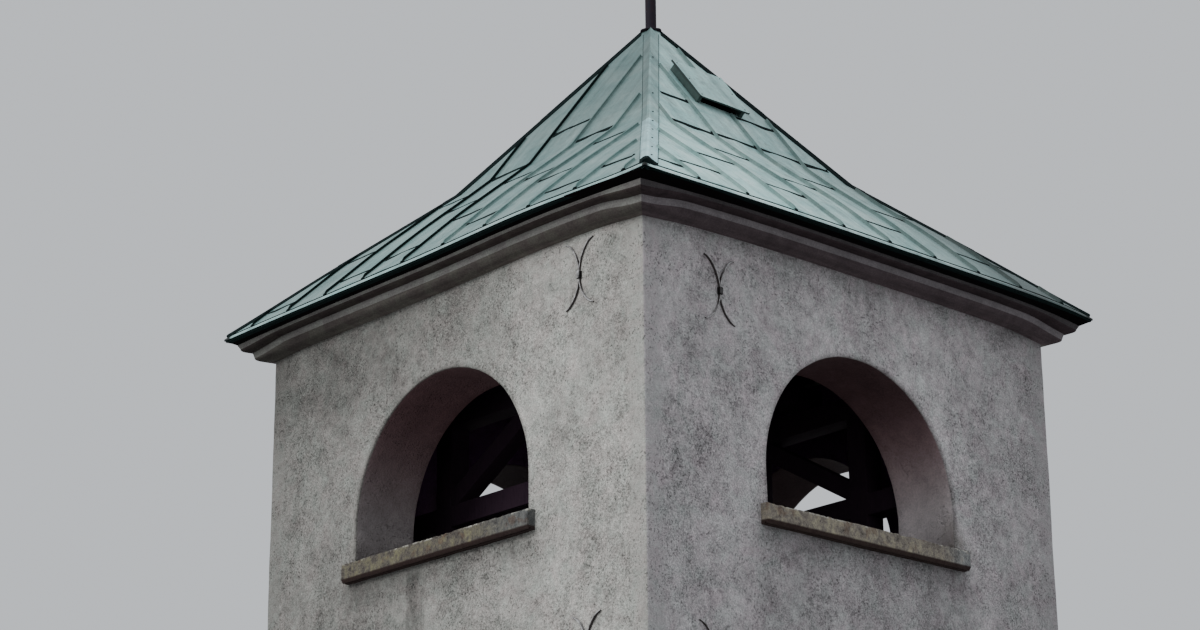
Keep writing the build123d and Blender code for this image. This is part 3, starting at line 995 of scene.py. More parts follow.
def cap_section(form, quarter, low, high, half, drift, tag):
    """One length of capping: a shallow roll at the hip, flanges, and turned-down edges and underside painted
    black as their shade.
    """
    skin = list(CAP_FLANGE) + [(-part, lift) for part, lift in reversed(CAP_FLANGE[:-1])]
    left = list(CAP_EDGE)
    right = [(-part, lift) for part, lift in reversed(CAP_EDGE)]
    stops = [low, low - 0.004] + even(low - 0.034, high, 0.07)
    if high < KINK_HALF < low:
        stops = sorted(set(stops + [KINK_HALF]), reverse=True)
    rings = {"skin": [], "left": [], "right": []}
    for k, distance in enumerate(stops):
        over = 0.0035 * (1.0 - (low - distance) / (low - high)) - (0.003 if k == 0 else 0.0)
        mouth = CAP_MOUTH * ease((distance - 2.44) / 0.15) if tag == NEW_CAP else 0.0
        wobble = noise.noise(Vector((distance * 2.7, quarter * 3.0, 1.0)))
        for name, profile in (("skin", skin), ("left", left), ("right", right)):
            ring = []
            for part, lift in profile:
                across = part * half * (1.0 + 0.03 * wobble) + drift * distance
                swell = (over + mouth) * (1.0 - abs(part)) + 0.0015 * wobble + 0.001
                point = on_hip(distance, across, lift + swell)
                ring.append(turned((min(point.x, CAP_REACH), max(point.y, -CAP_REACH), point.z), quarter))
            rings[name].append(ring)
    for ring, following, distance in zip(rings["skin"], rings["skin"][1:], stops):
        at_mouth = distance > CAP_FOOT_SHADE_FROM and tag == NEW_CAP
        form.rows([ring, following], tag=CAP_TAR_AND_SHADE if at_mouth else tag)
    form.rows(rings["left"], tag=CAP_TAR_AND_SHADE)
    form.rows(rings["right"], tag=CAP_TAR_AND_SHADE)
    underside = [[ring[0], other[-1]] for ring, other in zip(rings["left"], rings["right"])]
    form.rows(underside, tag=CAP_TAR_AND_SHADE)
    for k in (0, -1):
        end = rings["left"][k][:-1] + rings["skin"][k] + rings["right"][k][1:]
        form.add(end, [tuple(range(len(end)))], CAP_TAR_AND_SHADE)


NAIL_SIDES = 8


def nail_head(form, centre, facing, radius, tag):
    """A low domed head on a surface that faces this way."""
    side = facing.orthogonal().normalized()
    other = facing.cross(side)
    rings = []
    for swell, lift in ((1.0, -0.002), (1.0, 0.0015), (0.75, 0.0035), (0.3, 0.0045)):
        ring = []
        for k in range(NAIL_SIDES):
            angle = math.tau * k / NAIL_SIDES
            out = side * math.cos(angle) + other * math.sin(angle)
            ring.append(centre + out * radius * swell + facing * lift)
        rings.append(ring)
    form.bar(rings, tag)


def hip_cappings(finishes):
    """The caps of the four hips: the near one's in short nailed lengths, the others' old and near-black."""
    form = Form()
    for quarter in range(4):
        near = quarter == FRONT
        joints, nails = (CAP_JOINTS, CAP_NAILS) if near else (OLD_CAP_JOINTS, OLD_CAP_NAILS)
        half = HIP_CAP_HALF if near else OLD_CAP_HALF
        drift = CAP_DRIFT if near else 0.0
        radius = 0.012 if near else 0.008
        for high, low in zip(joints, joints[1:]):
            tag = (NEW_CAP if low > NEW_FROM else OLD_CAP) if near else CAP_TAR_AND_SHADE
            cap_section(form, quarter, min(low + CAP_OVERLAP, CAP_LOWEST), high, half, drift, tag)
        for place in nails:
            centre = on_hip(place, drift * place + 0.016, 0.0165)
            facing = Vector((0.5, -0.35, 1.0)).normalized()
            nail_head(form, turned(centre, quarter), turned(facing, quarter), radius, CAP_NAIL)
    finished("hip_cappings", into_bmesh(form), finishes, "roof_sheet", "hip_caps", sharp=32)


# Roof hatch

# The order of its finishes
UPSTAND, LID, RIVET, LID_EDGE = range(4)
# Its middle along the face, its size along the face and down the slope, its ends' distances from the axis,
# its boards' thickness and height, and how far the lid reaches past them
HATCH_ALONG = -0.02
HATCH_WIDE = 0.55
HATCH_LONG = 0.51
HATCH_HIGH = 0.5305
HATCH_LOW = 0.8395
HATCH_BOARD = 0.036
HATCH_RISE = 0.066
LID_OVER = 0.025
LID_THICK = 0.02


def on_hatch(down, along, lift):
    """A point by the hatch's middle on the right slope: down it, along it and square to it."""
    length = math.hypot(1.0, HIGH_PITCH)
    middle = (HATCH_HIGH + HATCH_LOW) / 2
    x = middle + down / length + lift * HIGH_PITCH / length
    z = roof_height(middle) - down * HIGH_PITCH / length + lift / length
    return Vector((x, HATCH_ALONG + along, z))


def hatch_hole(bm):
    """Cuts the hatch's way through the right slope's sheets and boards, upright as the boards' ends."""
    side = HATCH_WIDE / 2 - HATCH_BOARD
    down = HATCH_LONG / 2 - HATCH_BOARD
    low, high = on_hatch(-down, -side, 0.0), on_hatch(down, side, 0.0)
    for edge, axis in ((low, 0), (low, 1), (high, 0), (high, 1)):
        square = Vector((1.0 - axis, float(axis), 0.0))
        every = list(bm.verts) + list(bm.edges) + list(bm.faces)
        bmesh.ops.bisect_plane(bm, geom=every, dist=0.00001, plane_co=edge, plane_no=square)
    inside = []
    for face in bm.faces:
        centre = face.calc_center_median()
        if low.x < centre.x < high.x and low.y < centre.y < high.y:
            inside.append(face)
    bmesh.ops.delete(bm, geom=inside, context="FACES")
    rim = [e for e in bm.edges if e.is_boundary]
    # The hole's sides take the near-black finish, painted as the shade in the hole.
    for face in bmesh.ops.bridge_loops(bm, edges=rim)["faces"]:
        face.material_index = TAR_AND_SHADE


def rounded_slab(form, place, size, bevel, step, tag):
    """A slab from (a0, b0, c0) to (a1, b1, c1) in the frame that place gives, with eased edges."""
    (a0, b0, c0), (a1, b1, c1) = size
    rings = []
    for a, inset in ((a0, bevel), (a0 + bevel, 0.0), (a1 - bevel, 0.0), (a1, bevel)):
        left, right, foot, top = b0 + inset, b1 - inset, c0 + inset, c1 - inset
        ring = [(left, foot + bevel), (left + bevel, foot), (right - bevel, foot), (right, foot + bevel)]
        ring += [(right, top - bevel), (right - bevel, top), (left + bevel, top), (left, top - bevel)]
        rings.append([place(a, b, c) for b, c in ring])
    if step:
        first, second = rings[1], rings[2]
        count = max(1, round((a1 - a0) / step))
        rings[1:3] = [[p.lerp(q, k / count) for p, q in zip(first, second)] for k in range(count + 1)]
    form.bar(rings, tag)


def roof_hatch(finishes):
    """Three upstand boards clad in sheet, and the lid with folded edges and rivets."""
    box = Form()
    end, side = HATCH_LONG / 2, HATCH_WIDE / 2
    inner = side - HATCH_BOARD
    boards = ((end, -side, -inner), (end, inner, side), (-end + HATCH_BOARD, -inner + 0.001, inner - 0.001))
    for foot, left, right in boards:
        size = ((-end, left, 0.0), (foot, right, HATCH_RISE))
        rounded_slab(box, on_hatch, size, 0.003, 0.1, UPSTAND)
    finished("hatch_upstand", into_bmesh(box), finishes, "roof_sheet", "roof_hatch_box")
    lid = Form()
    reach, wide = end + LID_OVER, side + LID_OVER
    foot, face, fold = HATCH_RISE + 0.001, HATCH_RISE + 0.0165, HATCH_RISE + LID_THICK
    edge = [(-wide + 0.002, foot), (-wide, foot + 0.002), (-wide, fold - 0.004)]
    edge += [(-wide + 0.003, fold), (-wide + 0.014, fold), (-wide + 0.017, face)]
    middle = [(s, face) for s in even(-wide + 0.05, wide - 0.05, 0.05)]
    profile = edge + middle + [(-s, lift) for s, lift in reversed(edge)]
    stops = [-reach + 0.004] + even(-reach + 0.03, reach - 0.03, 0.05) + [reach - 0.004]
    rings = []
    for down in [-reach] + stops + [reach]:
        drop = 0.001 if abs(down) == reach else 0.0
        ring = []
        for s, lift in profile:
            dip = noise.noise(Vector((down * 6.0, s * 6.0, 4.0))) * 0.003 if abs(s) < wide - 0.03 else 0.0
            if lift > foot:
                dip -= drop
            ring.append(on_hatch(down, s - math.copysign(drop, s), lift + dip))
        rings.append(ring)
    on_top = range(3, len(profile) - 4)
    lid.strips(rings, [LID if k in on_top else LID_EDGE for k in range(len(profile))], LID_EDGE)
    facing = Vector((HIGH_PITCH, 0.0, 1.0)).normalized()
    for down in (-reach + 0.035, 0.0, reach - 0.035):
        for s in (-wide + 0.04, wide - 0.04):
            nail_head(lid, on_hatch(down, s, face), facing, 0.006, RIVET)
    finished("hatch_cover", into_bmesh(lid), finishes, "roof_sheet", "roof_hatch_lid")


# Ironwork

POLE = limit("finial_pole", 1, "x")
POLE_FOOT = limit("finial_pole", 0, "z")
POLE_TOP = limit("finial_pole", 1, "z")
# The apex plate's section: radius, and height over its underside
PLATE_SECTION = ((POLE, 0.0), (0.085, 0.0), (0.095, 0.002), (0.095, 0.009), (0.091, 0.012), (POLE, 0.012))
# The plate bends up or down outside this radius
PLATE_FLAT = 0.06


def ring_of(height, radius, count):
    """A level ring of points round the tower's axis."""
    centre = Vector((0, 0, height))
    across, deep = Vector((radius, 0, 0)), Vector((0, radius, 0))
    turns = [math.tau * k / count for k in range(count)]
    return [centre + across * math.cos(turn) + deep * math.sin(turn) for turn in turns]


def finial(finishes):
    """The bent apex plate, the rusty pole with its weld collar, and the cross."""
    plate = Form()
    rings = [ring_of(PLATE + lift, radius, 40) for radius, lift in PLATE_SECTION]
    rings.append(rings[0])
    plate.rows(rings, closed=True)
    bm = into_bmesh(plate)

    def bent(place, facing):
        reach = math.hypot(place.x, place.y) - PLATE_FLAT
        if reach < 0.0:
            return Vector()
        angle = math.atan2(place.y, place.x)
        return Vector((0, 0, reach * (0.14 * math.sin(3 * angle + 0.6) + 0.08 * math.sin(5 * angle))))

    shift_points(bm, bent)
    finished("apex_plate_iron", bm, finishes, "old_iron", "apex_plate")
    pole = Form()
    stops = [(POLE_FOOT, POLE - 0.002), (POLE_FOOT + 0.002, POLE), (PLATE + 0.012, POLE)]
    stops += [(PLATE + 0.0125, POLE + 0.006), (PLATE + 0.022, POLE + 0.0045), (PLATE + 0.030, POLE)]
    stops += [(z, POLE) for z in even(PLATE + 0.06, POLE_TOP - 0.01, 0.03)]
    stops += [(POLE_TOP - 0.003, POLE - 0.0005), (POLE_TOP, POLE - 0.003)]
    pole.bar([ring_of(z, radius, 32) for z, radius in stops])
    bm = into_bmesh(pole)

    def pitted(place, facing):
        if abs(place.z - POLE_FOOT) < 0.01 or abs(place.z - POLE_TOP) < 0.004:
            return Vector()
        return -facing * abs(noise.noise(place * 26.0)) * 0.0014

    shift_points(bm, pitted)
    finished("finial_pole_iron", bm, finishes, "old_iron", "finial_pole")
    bm = from_node("finial_cross")
    bmesh.ops.bevel(bm, geom=list(bm.edges), offset=0.003, segments=2, profile=0.5, affect="EDGES")
    finished("finial_cross_iron", bm, finishes, "old_iron", "finial_cross", sharp=30)


# The order of an anchor's finishes
BARS, WEDGES = range(2)
# Its bars: how far they rise either way, the radius of their bend, their thickness, and how far they stand
# out from the wall
ANCHOR_RISE = 0.255
ANCHOR_CURVE = 0.292
ANCHOR_BAR = 0.012
ANCHOR_REACH = 0.017
# The wedge between them: its width, its height, and how far it stands out
WEDGE = (0.038, 0.058, 0.028)
# Where the ties come through each face, along it and up
UPPER_TIES = ((1.61, 8.715), (-1.52, 8.587), (-1.61, 8.715), (1.52, 8.587))
LOWER_TIES = ((1.662, 5.868), (-1.645, 5.79), (-1.662, 5.868), (1.645, 5.79))


def anchor(form, quarter, along, height):
    """Two bars on edge bent away from each other, thinned at the tips, and the wedge between them."""
    bend = math.asin(ANCHOR_RISE / ANCHOR_CURVE)
    for side in (-1.0, 1.0):
        rings = []
        for turn in even(-bend, bend, 0.075):
            tip = max(0.0, (abs(turn) / bend - 0.72) / 0.28)
            thick = ANCHOR_BAR * (1.0 - 0.25 * tip) / 2
            reach = ANCHOR_REACH * (1.0 - 0.22 * tip * tip)
            radius = ANCHOR_CURVE - 0.010 * tip * tip
            half_section = [(1, 0.004), (1, -reach + 0.003), (0.6, -reach)]
            ring = []
            for part, deep in [(-part, deep) for part, deep in half_section] + half_section[::-1]:
                out = radius + part * thick
                s = along + side * (ANCHOR_CURVE - out * math.cos(turn))
                ring.append(on_face(quarter, s, deep, height + out * math.sin(turn)))
            rings.append(ring)
        form.bar(rings, BARS)
    wide, high, reach = WEDGE

    def place(a, b, c):
        taper = 1.0 - 0.18 * (0.5 - a / high) if c < -0.02 else 1.0
        return on_face(quarter, along + b * taper, c, height + a)

    size = ((-high / 2, -wide / 2, -reach), (high / 2, wide / 2, 0.004))
    rounded_slab(form, place, size, 0.004, 0.0, WEDGES)


def ironwork(finishes, iron):
    """The anchors at both levels, with a finish for their bars and one for their wedges, and the ties."""
    for name, places in (("upper", UPPER_TIES), ("lower", LOWER_TIES)):
        form = Form()
        for quarter, (along, height) in enumerate(places):
            anchor(form, quarter, along, height)
        finished(name + "_anchor_irons", into_bmesh(form), finishes, "old_iron", name + "_wall_anchors")
        bm = from_node(name + "_wall_ties")
        bmesh.ops.bevel(bm, geom=list(bm.edges), offset=0.002, segments=1, affect="EDGES")
        finished(name + "_tie_bars", bm, iron, "old_iron", name + "_wall_ties")


# Timber

def worn_timber(name, finish, bevel, node):
    """The sawn timbers of a CAD node with eased, slightly uneven arrises."""
    bm = from_node(node)
    eased = {"offset": bevel, "segments": 2, "profile": 0.5, "clamp_overlap": True}
    bmesh.ops.bevel(bm, geom=list(bm.edges), affect="EDGES", **eased)
    bmesh.ops.triangulate(bm, faces=[f for f in bm.faces if len(f.verts) > 4])

    def worn(place, facing):
        return -facing * abs(noise.noise(place * 2.3)) * 0.004

    shift_points(bm, worn)
    finished(name, bm, [finish], "frame_timber", node, sharp=40)


# The order of the planks' finishes
WOOD, NAIL = range(2)


def planks(form, place, size, count, gap, step):
    """Boards side by side along the second direction, each with eased edges and its own small offset."""
    (a0, b0, c0), (a1, b1, c1) = size
    wide = (b1 - b0) / count
    for k in range(count):
        wander = noise.noise(Vector((k * 3.3, b0 * 7.0, 2.0)))
        low = (a0 + 0.004 * abs(wander), b0 + k * wide + gap / 2, c0)
        high = (a1 - 0.006 * abs(wander), b0 + (k + 1) * wide - gap / 2, c1 - 0.0015 * abs(wander))
        rounded_slab(form, place, (low, high), 0.003, step, WOOD)


# The floor's planks, and where its joists lie across it
FLOOR_TOP = limit("floor_boards", 1, "z")
FLOOR_PLANKS = 17
JOISTS = (-1.2, -0.4, 0.4, 1.2)


def belfry_floor(finish, iron):
    """The planks, with two nails in each over every joist."""
    form = Form()
    size = ((-INNER, -INNER, STAGE), (INNER, INNER, FLOOR_TOP))
    planks(form, lambda a, b, c: Vector((a, b, c)), size, FLOOR_PLANKS, 0.004, 0.3)
    for k in range(FLOOR_PLANKS):
        middle = -INNER + (k + 0.5) * 2 * INNER / FLOOR_PLANKS
        for joist in JOISTS:
            for side in (-0.055, 0.055):
                head = Vector((joist, middle + side, FLOOR_TOP - 0.0015))
                nail_head(form, head, Vector((0, 0, 1)), 0.005, NAIL)
    finished("belfry_floor_planks", into_bmesh(form), [finish, iron], "frame_timber", "floor_boards")


# The door's planks, how far apart their nails are, and the levels and half length of its ledges
DOOR_BACK = limit("door_leaf", 1, "y")
DOOR_PLANKS = 6
PLANK_PITCH = 0.1662
LEDGES = (0.42, 1.12, 1.82)
LEDGE_HALF = 0.46


def doorway(finishes, stone):
    """The plank door with its rows of clenched nails, and the worn threshold."""
    form = Form()
    side, back, top = DOOR_HALF - 0.0015, DOOR_BACK, THRESHOLD
    size = ((top + 0.004, -side, back - 0.058), (DOOR_TOP - 0.003, side, back - 0.0005))
    planks(form, lambda a, b, c: Vector((b, c, a)), size, DOOR_PLANKS, 0.005, 0.25)
    for level in LEDGES:
        size = ((-LEDGE_HALF, level - 0.06, back - 0.059), (LEDGE_HALF, level + 0.06, back - 0.03))
        rounded_slab(form, lambda a, b, c: Vector((a, c, b)), size, 0.004, 0.0, WOOD)
        for k in range(DOOR_PLANKS):
            for up in (-0.035, 0.035):
                head = Vector(((k - (DOOR_PLANKS - 1) / 2) * PLANK_PITCH, back - 0.001, level + up))
                nail_head(form, head, Vector((0, 1, 0)), 0.007, NAIL)
    finished("door_planks", into_bmesh(form), finishes, "door_timber", "door_leaf")
    form = Form()
    rings = []
    for s in even(-DOOR_HALF, DOOR_HALF, 0.04):
        dish = 0.014 * (1.0 - (s / DOOR_HALF) ** 2)
        ring = [(INNER, 0.0), (INNER, top - 0.002 - dish * 0.3), (INNER + 0.004, top - dish * 0.3)]
        ring += [(y, top - dish * ease((y - INNER) / 0.4)) for y in even(INNER + 0.06, HALF - 0.03, 0.06)]
        ring += [(HALF - 0.012, top - 0.002 - dish), (HALF - 0.003, top - 0.012 - dish)]
        ring += [(HALF - 0.001, top - 0.03), (HALF - 0.001, 0.0)]
        rings.append([Vector((s, y, z)) for y, z in ring])
    form.bar(rings)
    finished("worn_threshold", into_bmesh(form), [stone], "sill_stone", "door_threshold")


# The soffit boards' edges, out from the walls, and the outer board's bevel up to a thin lip
SOFFIT_BOARDS = ((-0.55, -0.15), (-0.146, 0.105), (0.109, 0.298))
SOFFIT_FOOT = limit("eaves_boards", 0, "z")
BEVEL_START = 0.238
LIP = 0.010


def eaves_boarding(finish):
    """The soffit of boards between the cornice and the sheets, butted along its length."""
    form = Form()
    foot, top = SOFFIT_FOOT, EAVES
    for quarter in range(4):
        for inner, outer in SOFFIT_BOARDS:
            profile = [(inner, foot + 0.003), (inner + 0.003, foot)]
            if outer > BEVEL_START:
                profile += [(BEVEL_START, foot), (outer - 0.002, top - LIP), (outer, top - LIP + 0.002)]
            else:
                profile += [(outer - 0.003, foot), (outer, foot + 0.003)]
            profile += [(outer, top - 0.002), (outer - 0.002, top), (inner, top)]
            rings = []
            for t in even(-1.0, 1.0, 0.05):
                reaches = [(HALF + out, z) for out, z in profile]
                rings.append([turned((t * (reach - 0.0005), -reach, z), quarter) for reach, z in reaches])
            form.bar(rings)
    finished("eaves_soffit_boards", into_bmesh(form), [finish], "frame_timber", "eaves_boards")


# Finishes
# The two numbers of a step on a place are metres in the tower's frame.

def face_masks(f):
    """A point's place along its face, its distance from the axis, and one on the right and left faces."""
    across, deep = abs(f.x), abs(f.y)
    out = across.most(deep)
    on_side = (across - deep).step(-0.001, 0.001)
    along = f.x + (f.y - f.x) * on_side
    return along, out, on_side


def spread(mask, amount):
    """A noise mask as a change either way around nought."""
    return (mask - 0.5) * amount


def weathered_render():
    """Rough lime render: speckled, mottled and stained; darker under the cornice and sills, partly as
    painted shade; the openings' reveals and the inner faces painted dark as shade, and the side faces
    purple-grey as painted shade.
    """
    f = Finish("weathered_render")
    along, out, on_side = face_masks(f)
    front = 1.0 - on_side
    near = on_side * f.x.step(-0.1, 0.1) + front * f.y.step(0.1, -0.1)
    clouds = f.noise(0.55, 4.0, 0.6, distortion=0.5)
    blots = f.noise(0.13, 5.0, 0.68, distortion=0.7)
    patches = f.noise(0.055, 3.0, 0.6, distortion=0.5)
    grain = f.noise(0.016, 3.0, 0.78)
    fine = f.noise(0.009, 2.0, 0.7)
    streaks = f.noise(0.10, 3.0, 0.6, stretch=(1.0, 1.0, 0.12))
    pits = f.noise(0.018, 2.0, 0.6).step(0.58, 0.70) * f.noise(0.33, 3.0, 0.6).step(0.42, 0.58)
    centre = along + 0.05 * front
    up = (f.z - ARCH_SPRING).most(0.0)
    ring = (centre * centre + up * up) ** 0.5
    in_stage = f.z.step(6.90, 7.02)
    halo = ring.step(1.40, 1.12) * in_stage
    edge_grime = ring.step(1.105, 1.066) * in_stage
    corner_band = abs(f.x).least(abs(f.y)).step(2.105, 2.15)
    under_cornice = f.z.step(8.66, 9.0) + 0.5 * f.z.step(8.92, 9.0)
    # Darker under the sills: partly stains, partly the sills' painted shadow.
    sill_shadow_and_stain = f.z.step(6.50, 6.86) * f.z.step(6.875, 6.86) * abs(centre).step(1.26, 1.05)
    weather_side = along.step(1.9, -2.3) * front
    over_arch = f.z.step(7.9, 8.6) * along.step(1.3, 0.4) * front
    far_side = along.step(0.9, 2.2) * on_side
    sill_run = abs(centre).step(1.45, 1.0) * f.z.step(4.6, 6.7) * f.z.step(6.875, 6.86)
    stain = along.step(-0.46, -0.42) * along.step(-0.13, -0.36) * f.z.step(6.86, 6.74) * f.z.step(5.2, 6.0)
    low_damp = f.z.step(0.9, 0.05)
    mottle = spread(clouds, 1.10) + spread(blots, 1.20) + spread(patches, 0.80) + spread(streaks, 0.30)
    speckle = spread(grain, 2.2) + spread(fine, 1.5)
    calm = 1.0 - 0.50 * corner_band
    rough = f.noise(0.9, 2.0, 0.6, distortion=0.4).step(0.35, 0.62)
    rough = rough * (1.0 - 0.45 * on_side * f.z.step(7.9, 8.5))
    tone = (0.457 - 0.012 * on_side) * (1.0 + mottle * calm + speckle * (0.62 + 0.48 * rough) * calm)
    washed = (0.12 + 0.08 * on_side) * sill_run
    tone = tone * (1.0 - 0.45 * weather_side - 0.21 * over_arch - 0.20 * far_side - washed)
    # Darker under the cornice, and more so on the side faces: partly grime, partly painted shade.
    cornice_grime_and_shade = (0.10 + 0.10 * on_side) * under_cornice + 0.12 * on_side * f.z.step(8.90, 9.05)
    tone = tone * (1.0 - cornice_grime_and_shade - 0.42 * sill_shadow_and_stain - 0.34 * stain * front - 0.3 * low_damp)
    tone = tone * (1.0 + 0.07 * halo) * (1.0 - 0.38 * pits)
    hue = (f.noise(0.17, 4.0, 0.7, distortion=0.5) * 3.0 - 1.0).clipped()
    warm = f.colours(hue, (1.0, 0.925, 0.865), (0.975, 1.0, 0.915))
    # The side faces take a purple-grey hue, painted as the tint of their shade.
    shaded_side_hue = f.colours(hue, (1.0, 0.887, 0.918), (0.975, 0.978, 0.962))
    grey = f.shade(f.colours(on_side, warm, shaded_side_hue), tone.most(0.05))
    rusty = f.noise(0.045, 3.0, 0.6).step(0.66, 0.76) * f.noise(0.7, 2.0).step(0.5, 0.62)
    grey = f.colours(rusty * 0.4, grey, (0.20, 0.125, 0.085))
    # The reveals are painted dark as their shade: darkest at the crown and in the far openings, and lighter
    # at the foot on the side faces to make up for their weaker light.
    reveal = out.step(2.293, 2.276)
    crown = f.z.step(7.25, 8.32)
    foot_tone = 0.305 + on_side * 0.290
    crown_tone = 0.140 - on_side * 0.055
    reveal_shade = foot_tone + (crown_tone - foot_tone) * crown
    reveal_shade = reveal_shade * (1.0 + spread(blots, 0.80) + spread(grain, 0.90)) * (0.25 + 0.75 * near)
    reveal_shade = reveal_shade * (1.0 - 0.3 * f.z.step(7.25, 7.02)) * (1.0 + 0.35 * out.step(2.1, 1.75))
    reveal_shade_colour = f.shade(f.colours(crown, (1.0, 0.905, 0.905), (1.0, 0.56, 0.60)), reveal_shade.most(0.008))
    colour = f.colours(reveal * in_stage, grey, reveal_shade_colour)
    jamb_foot = centre.step(0.95, 1.03) * (centre + (f.z - 7.0) * 0.8).step(1.36, 1.14) * in_stage
    moss = jamb_foot * out.step(2.08, 2.26) * on_side * f.x.step(0.0, 0.1)
    moss = moss * (blots * 2.4 - 0.55).clipped()
    colour = f.colours(moss * 0.75, colour, (0.085, 0.066, 0.045))
    colour = f.colours(edge_grime * (1.0 - reveal) * 0.35, colour, (0.08, 0.075, 0.07))
    # The inner faces are painted near-black and purple as the shade inside the belfry.
    inner = out.step(1.708, 1.700)
    dark = f.shade(f.colours(blots, (1.0, 0.36, 0.9), (0.85, 0.4, 1.0)), 0.105 + grain * 0.050)
    colour = f.colours(inner, colour, dark)
    height = blots * 0.4 + patches * 0.3 + grain * 0.6 + fine * 0.4 - pits * 0.9
    return f.done(colour, 0.93 - grain * 0.08, height, 0.012, gloss=0.15)


def plaster(name, light, dark, hues, side_shade=0.20, top_shade=0.0, foot_gain=0.0):
    """Run plaster of the cornice, streaked along its length and grimy, with painted shade: the side faces
    darker and browner, their top fillet darker still, and the lower ovolo's foot painted lighter against its
    own shade.
    """
    f = Finish(name)
    along, out, on_side = face_masks(f)
    lines = f.noise(1.0, 4.0, 0.65, place=f.point(along * 1.4, out * 30.0, f.z * 26.0))
    blots = f.noise(0.20, 4.0, 0.65, distortion=0.5)
    grain = f.noise(0.014, 3.0, 0.75)
    tone = dark + (light - dark) * (0.5 + spread(lines, 1.5) + spread(blots, 1.7))
    tone = tone * (1.0 + spread(grain, 1.3)) * (1.0 - side_shade * on_side)
    tone = tone * (1.0 - 0.42 * along.step(-0.4, -2.5) * (1.0 - on_side))
    tone = tone * (1.0 - top_shade * out.step(2.46, 2.49) * on_side)
    tone = tone * (1.0 + foot_gain * out.step(2.38, 2.31))
    olive = f.colours(blots.step(0.40, 0.60), hues[0], hues[1])
    colour = f.shade(f.colours(on_side, olive, hues[2]), tone.most(0.004))
    return f.done(colour, 0.92 - grain * 0.06, blots * 0.6 + grain * 0.4, 0.004, gloss=0.15)


def lichened_stone():
    """Coarse sill stone with olive lichen, pale chips at its upper edge, and its underside and lowest edge
    painted dark as their shade; the side faces' sills are painted lighter against their weaker light.
    """
    f = Finish("lichened_stone")
    along, out, on_side = face_masks(f)
    upright = f.noise(1.0, 4.0, 0.7, place=f.point(along * 17.0, out * 9.0, f.z * 11.0))
    blots = f.noise(0.060, 4.0, 0.7, distortion=0.6)
    grain = f.noise(0.012, 3.0, 0.8)
    worn = along.step(0.3, 1.1) * (1.0 - on_side) + along.step(0.75, 1.1) * on_side
    flecks = f.cells(0.03).step(0.26, 0.10) * f.noise(0.12, 2.0).step(0.50, 0.60)
    tone = 0.122 * (1.0 + spread(upright, 1.9) + spread(blots, 2.1) + spread(grain, 1.9))
    # The side faces' sills are painted lighter, making up for the weaker light they get.
    tone = tone * (1.0 + 0.85 * on_side)
    lichen = ((upright + blots) * 3.0 - 2.75).clipped() * (1.0 - 0.8 * worn) * (1.0 - 0.5 * on_side)
    hue = f.colours(lichen, f.colours(worn, (1.0, 0.88, 0.76), (0.98, 1.0, 0.99)), (1.10, 1.03, 0.62))
    colour = f.shade(hue, tone.most(0.016))
    colour = f.colours(flecks * 0.7, colour, (0.27, 0.26, 0.20))
    rusty = f.noise(0.09, 2.0).step(0.56, 0.68) * f.z.step(6.86, 6.95)
    colour = f.colours(rusty * 0.35, colour, (0.135, 0.070, 0.038))
    chipped = f.z.step(SILL_TOP - 0.020, SILL_TOP - 0.007) * out.step(2.33, 2.345)
    chipped = chipped * blots.step(0.48, 0.58) * f.noise(0.28, 2.0).step(0.44, 0.56)
    colour = f.colours(chipped, colour, (0.46, 0.45, 0.40))
    # The underside and the nosing's lowest edge are painted dark as their shade.
    underside_shade = f.z.step(SILL_FOOT + 0.038, SILL_FOOT + 0.022) * f.z.step(SILL_FOOT - 0.5, SILL_FOOT - 0.1)
    under = f.shade(f.colours(blots, (1.0, 0.48, 0.46), (1.0, 0.64, 0.56)), 0.022 + grain * 0.022)
    colour = f.colours(underside_shade * 0.95, colour, under)
    return f.done(colour, 0.95, blots * 0.7 + grain * 0.6, 0.008, gloss=0.2)


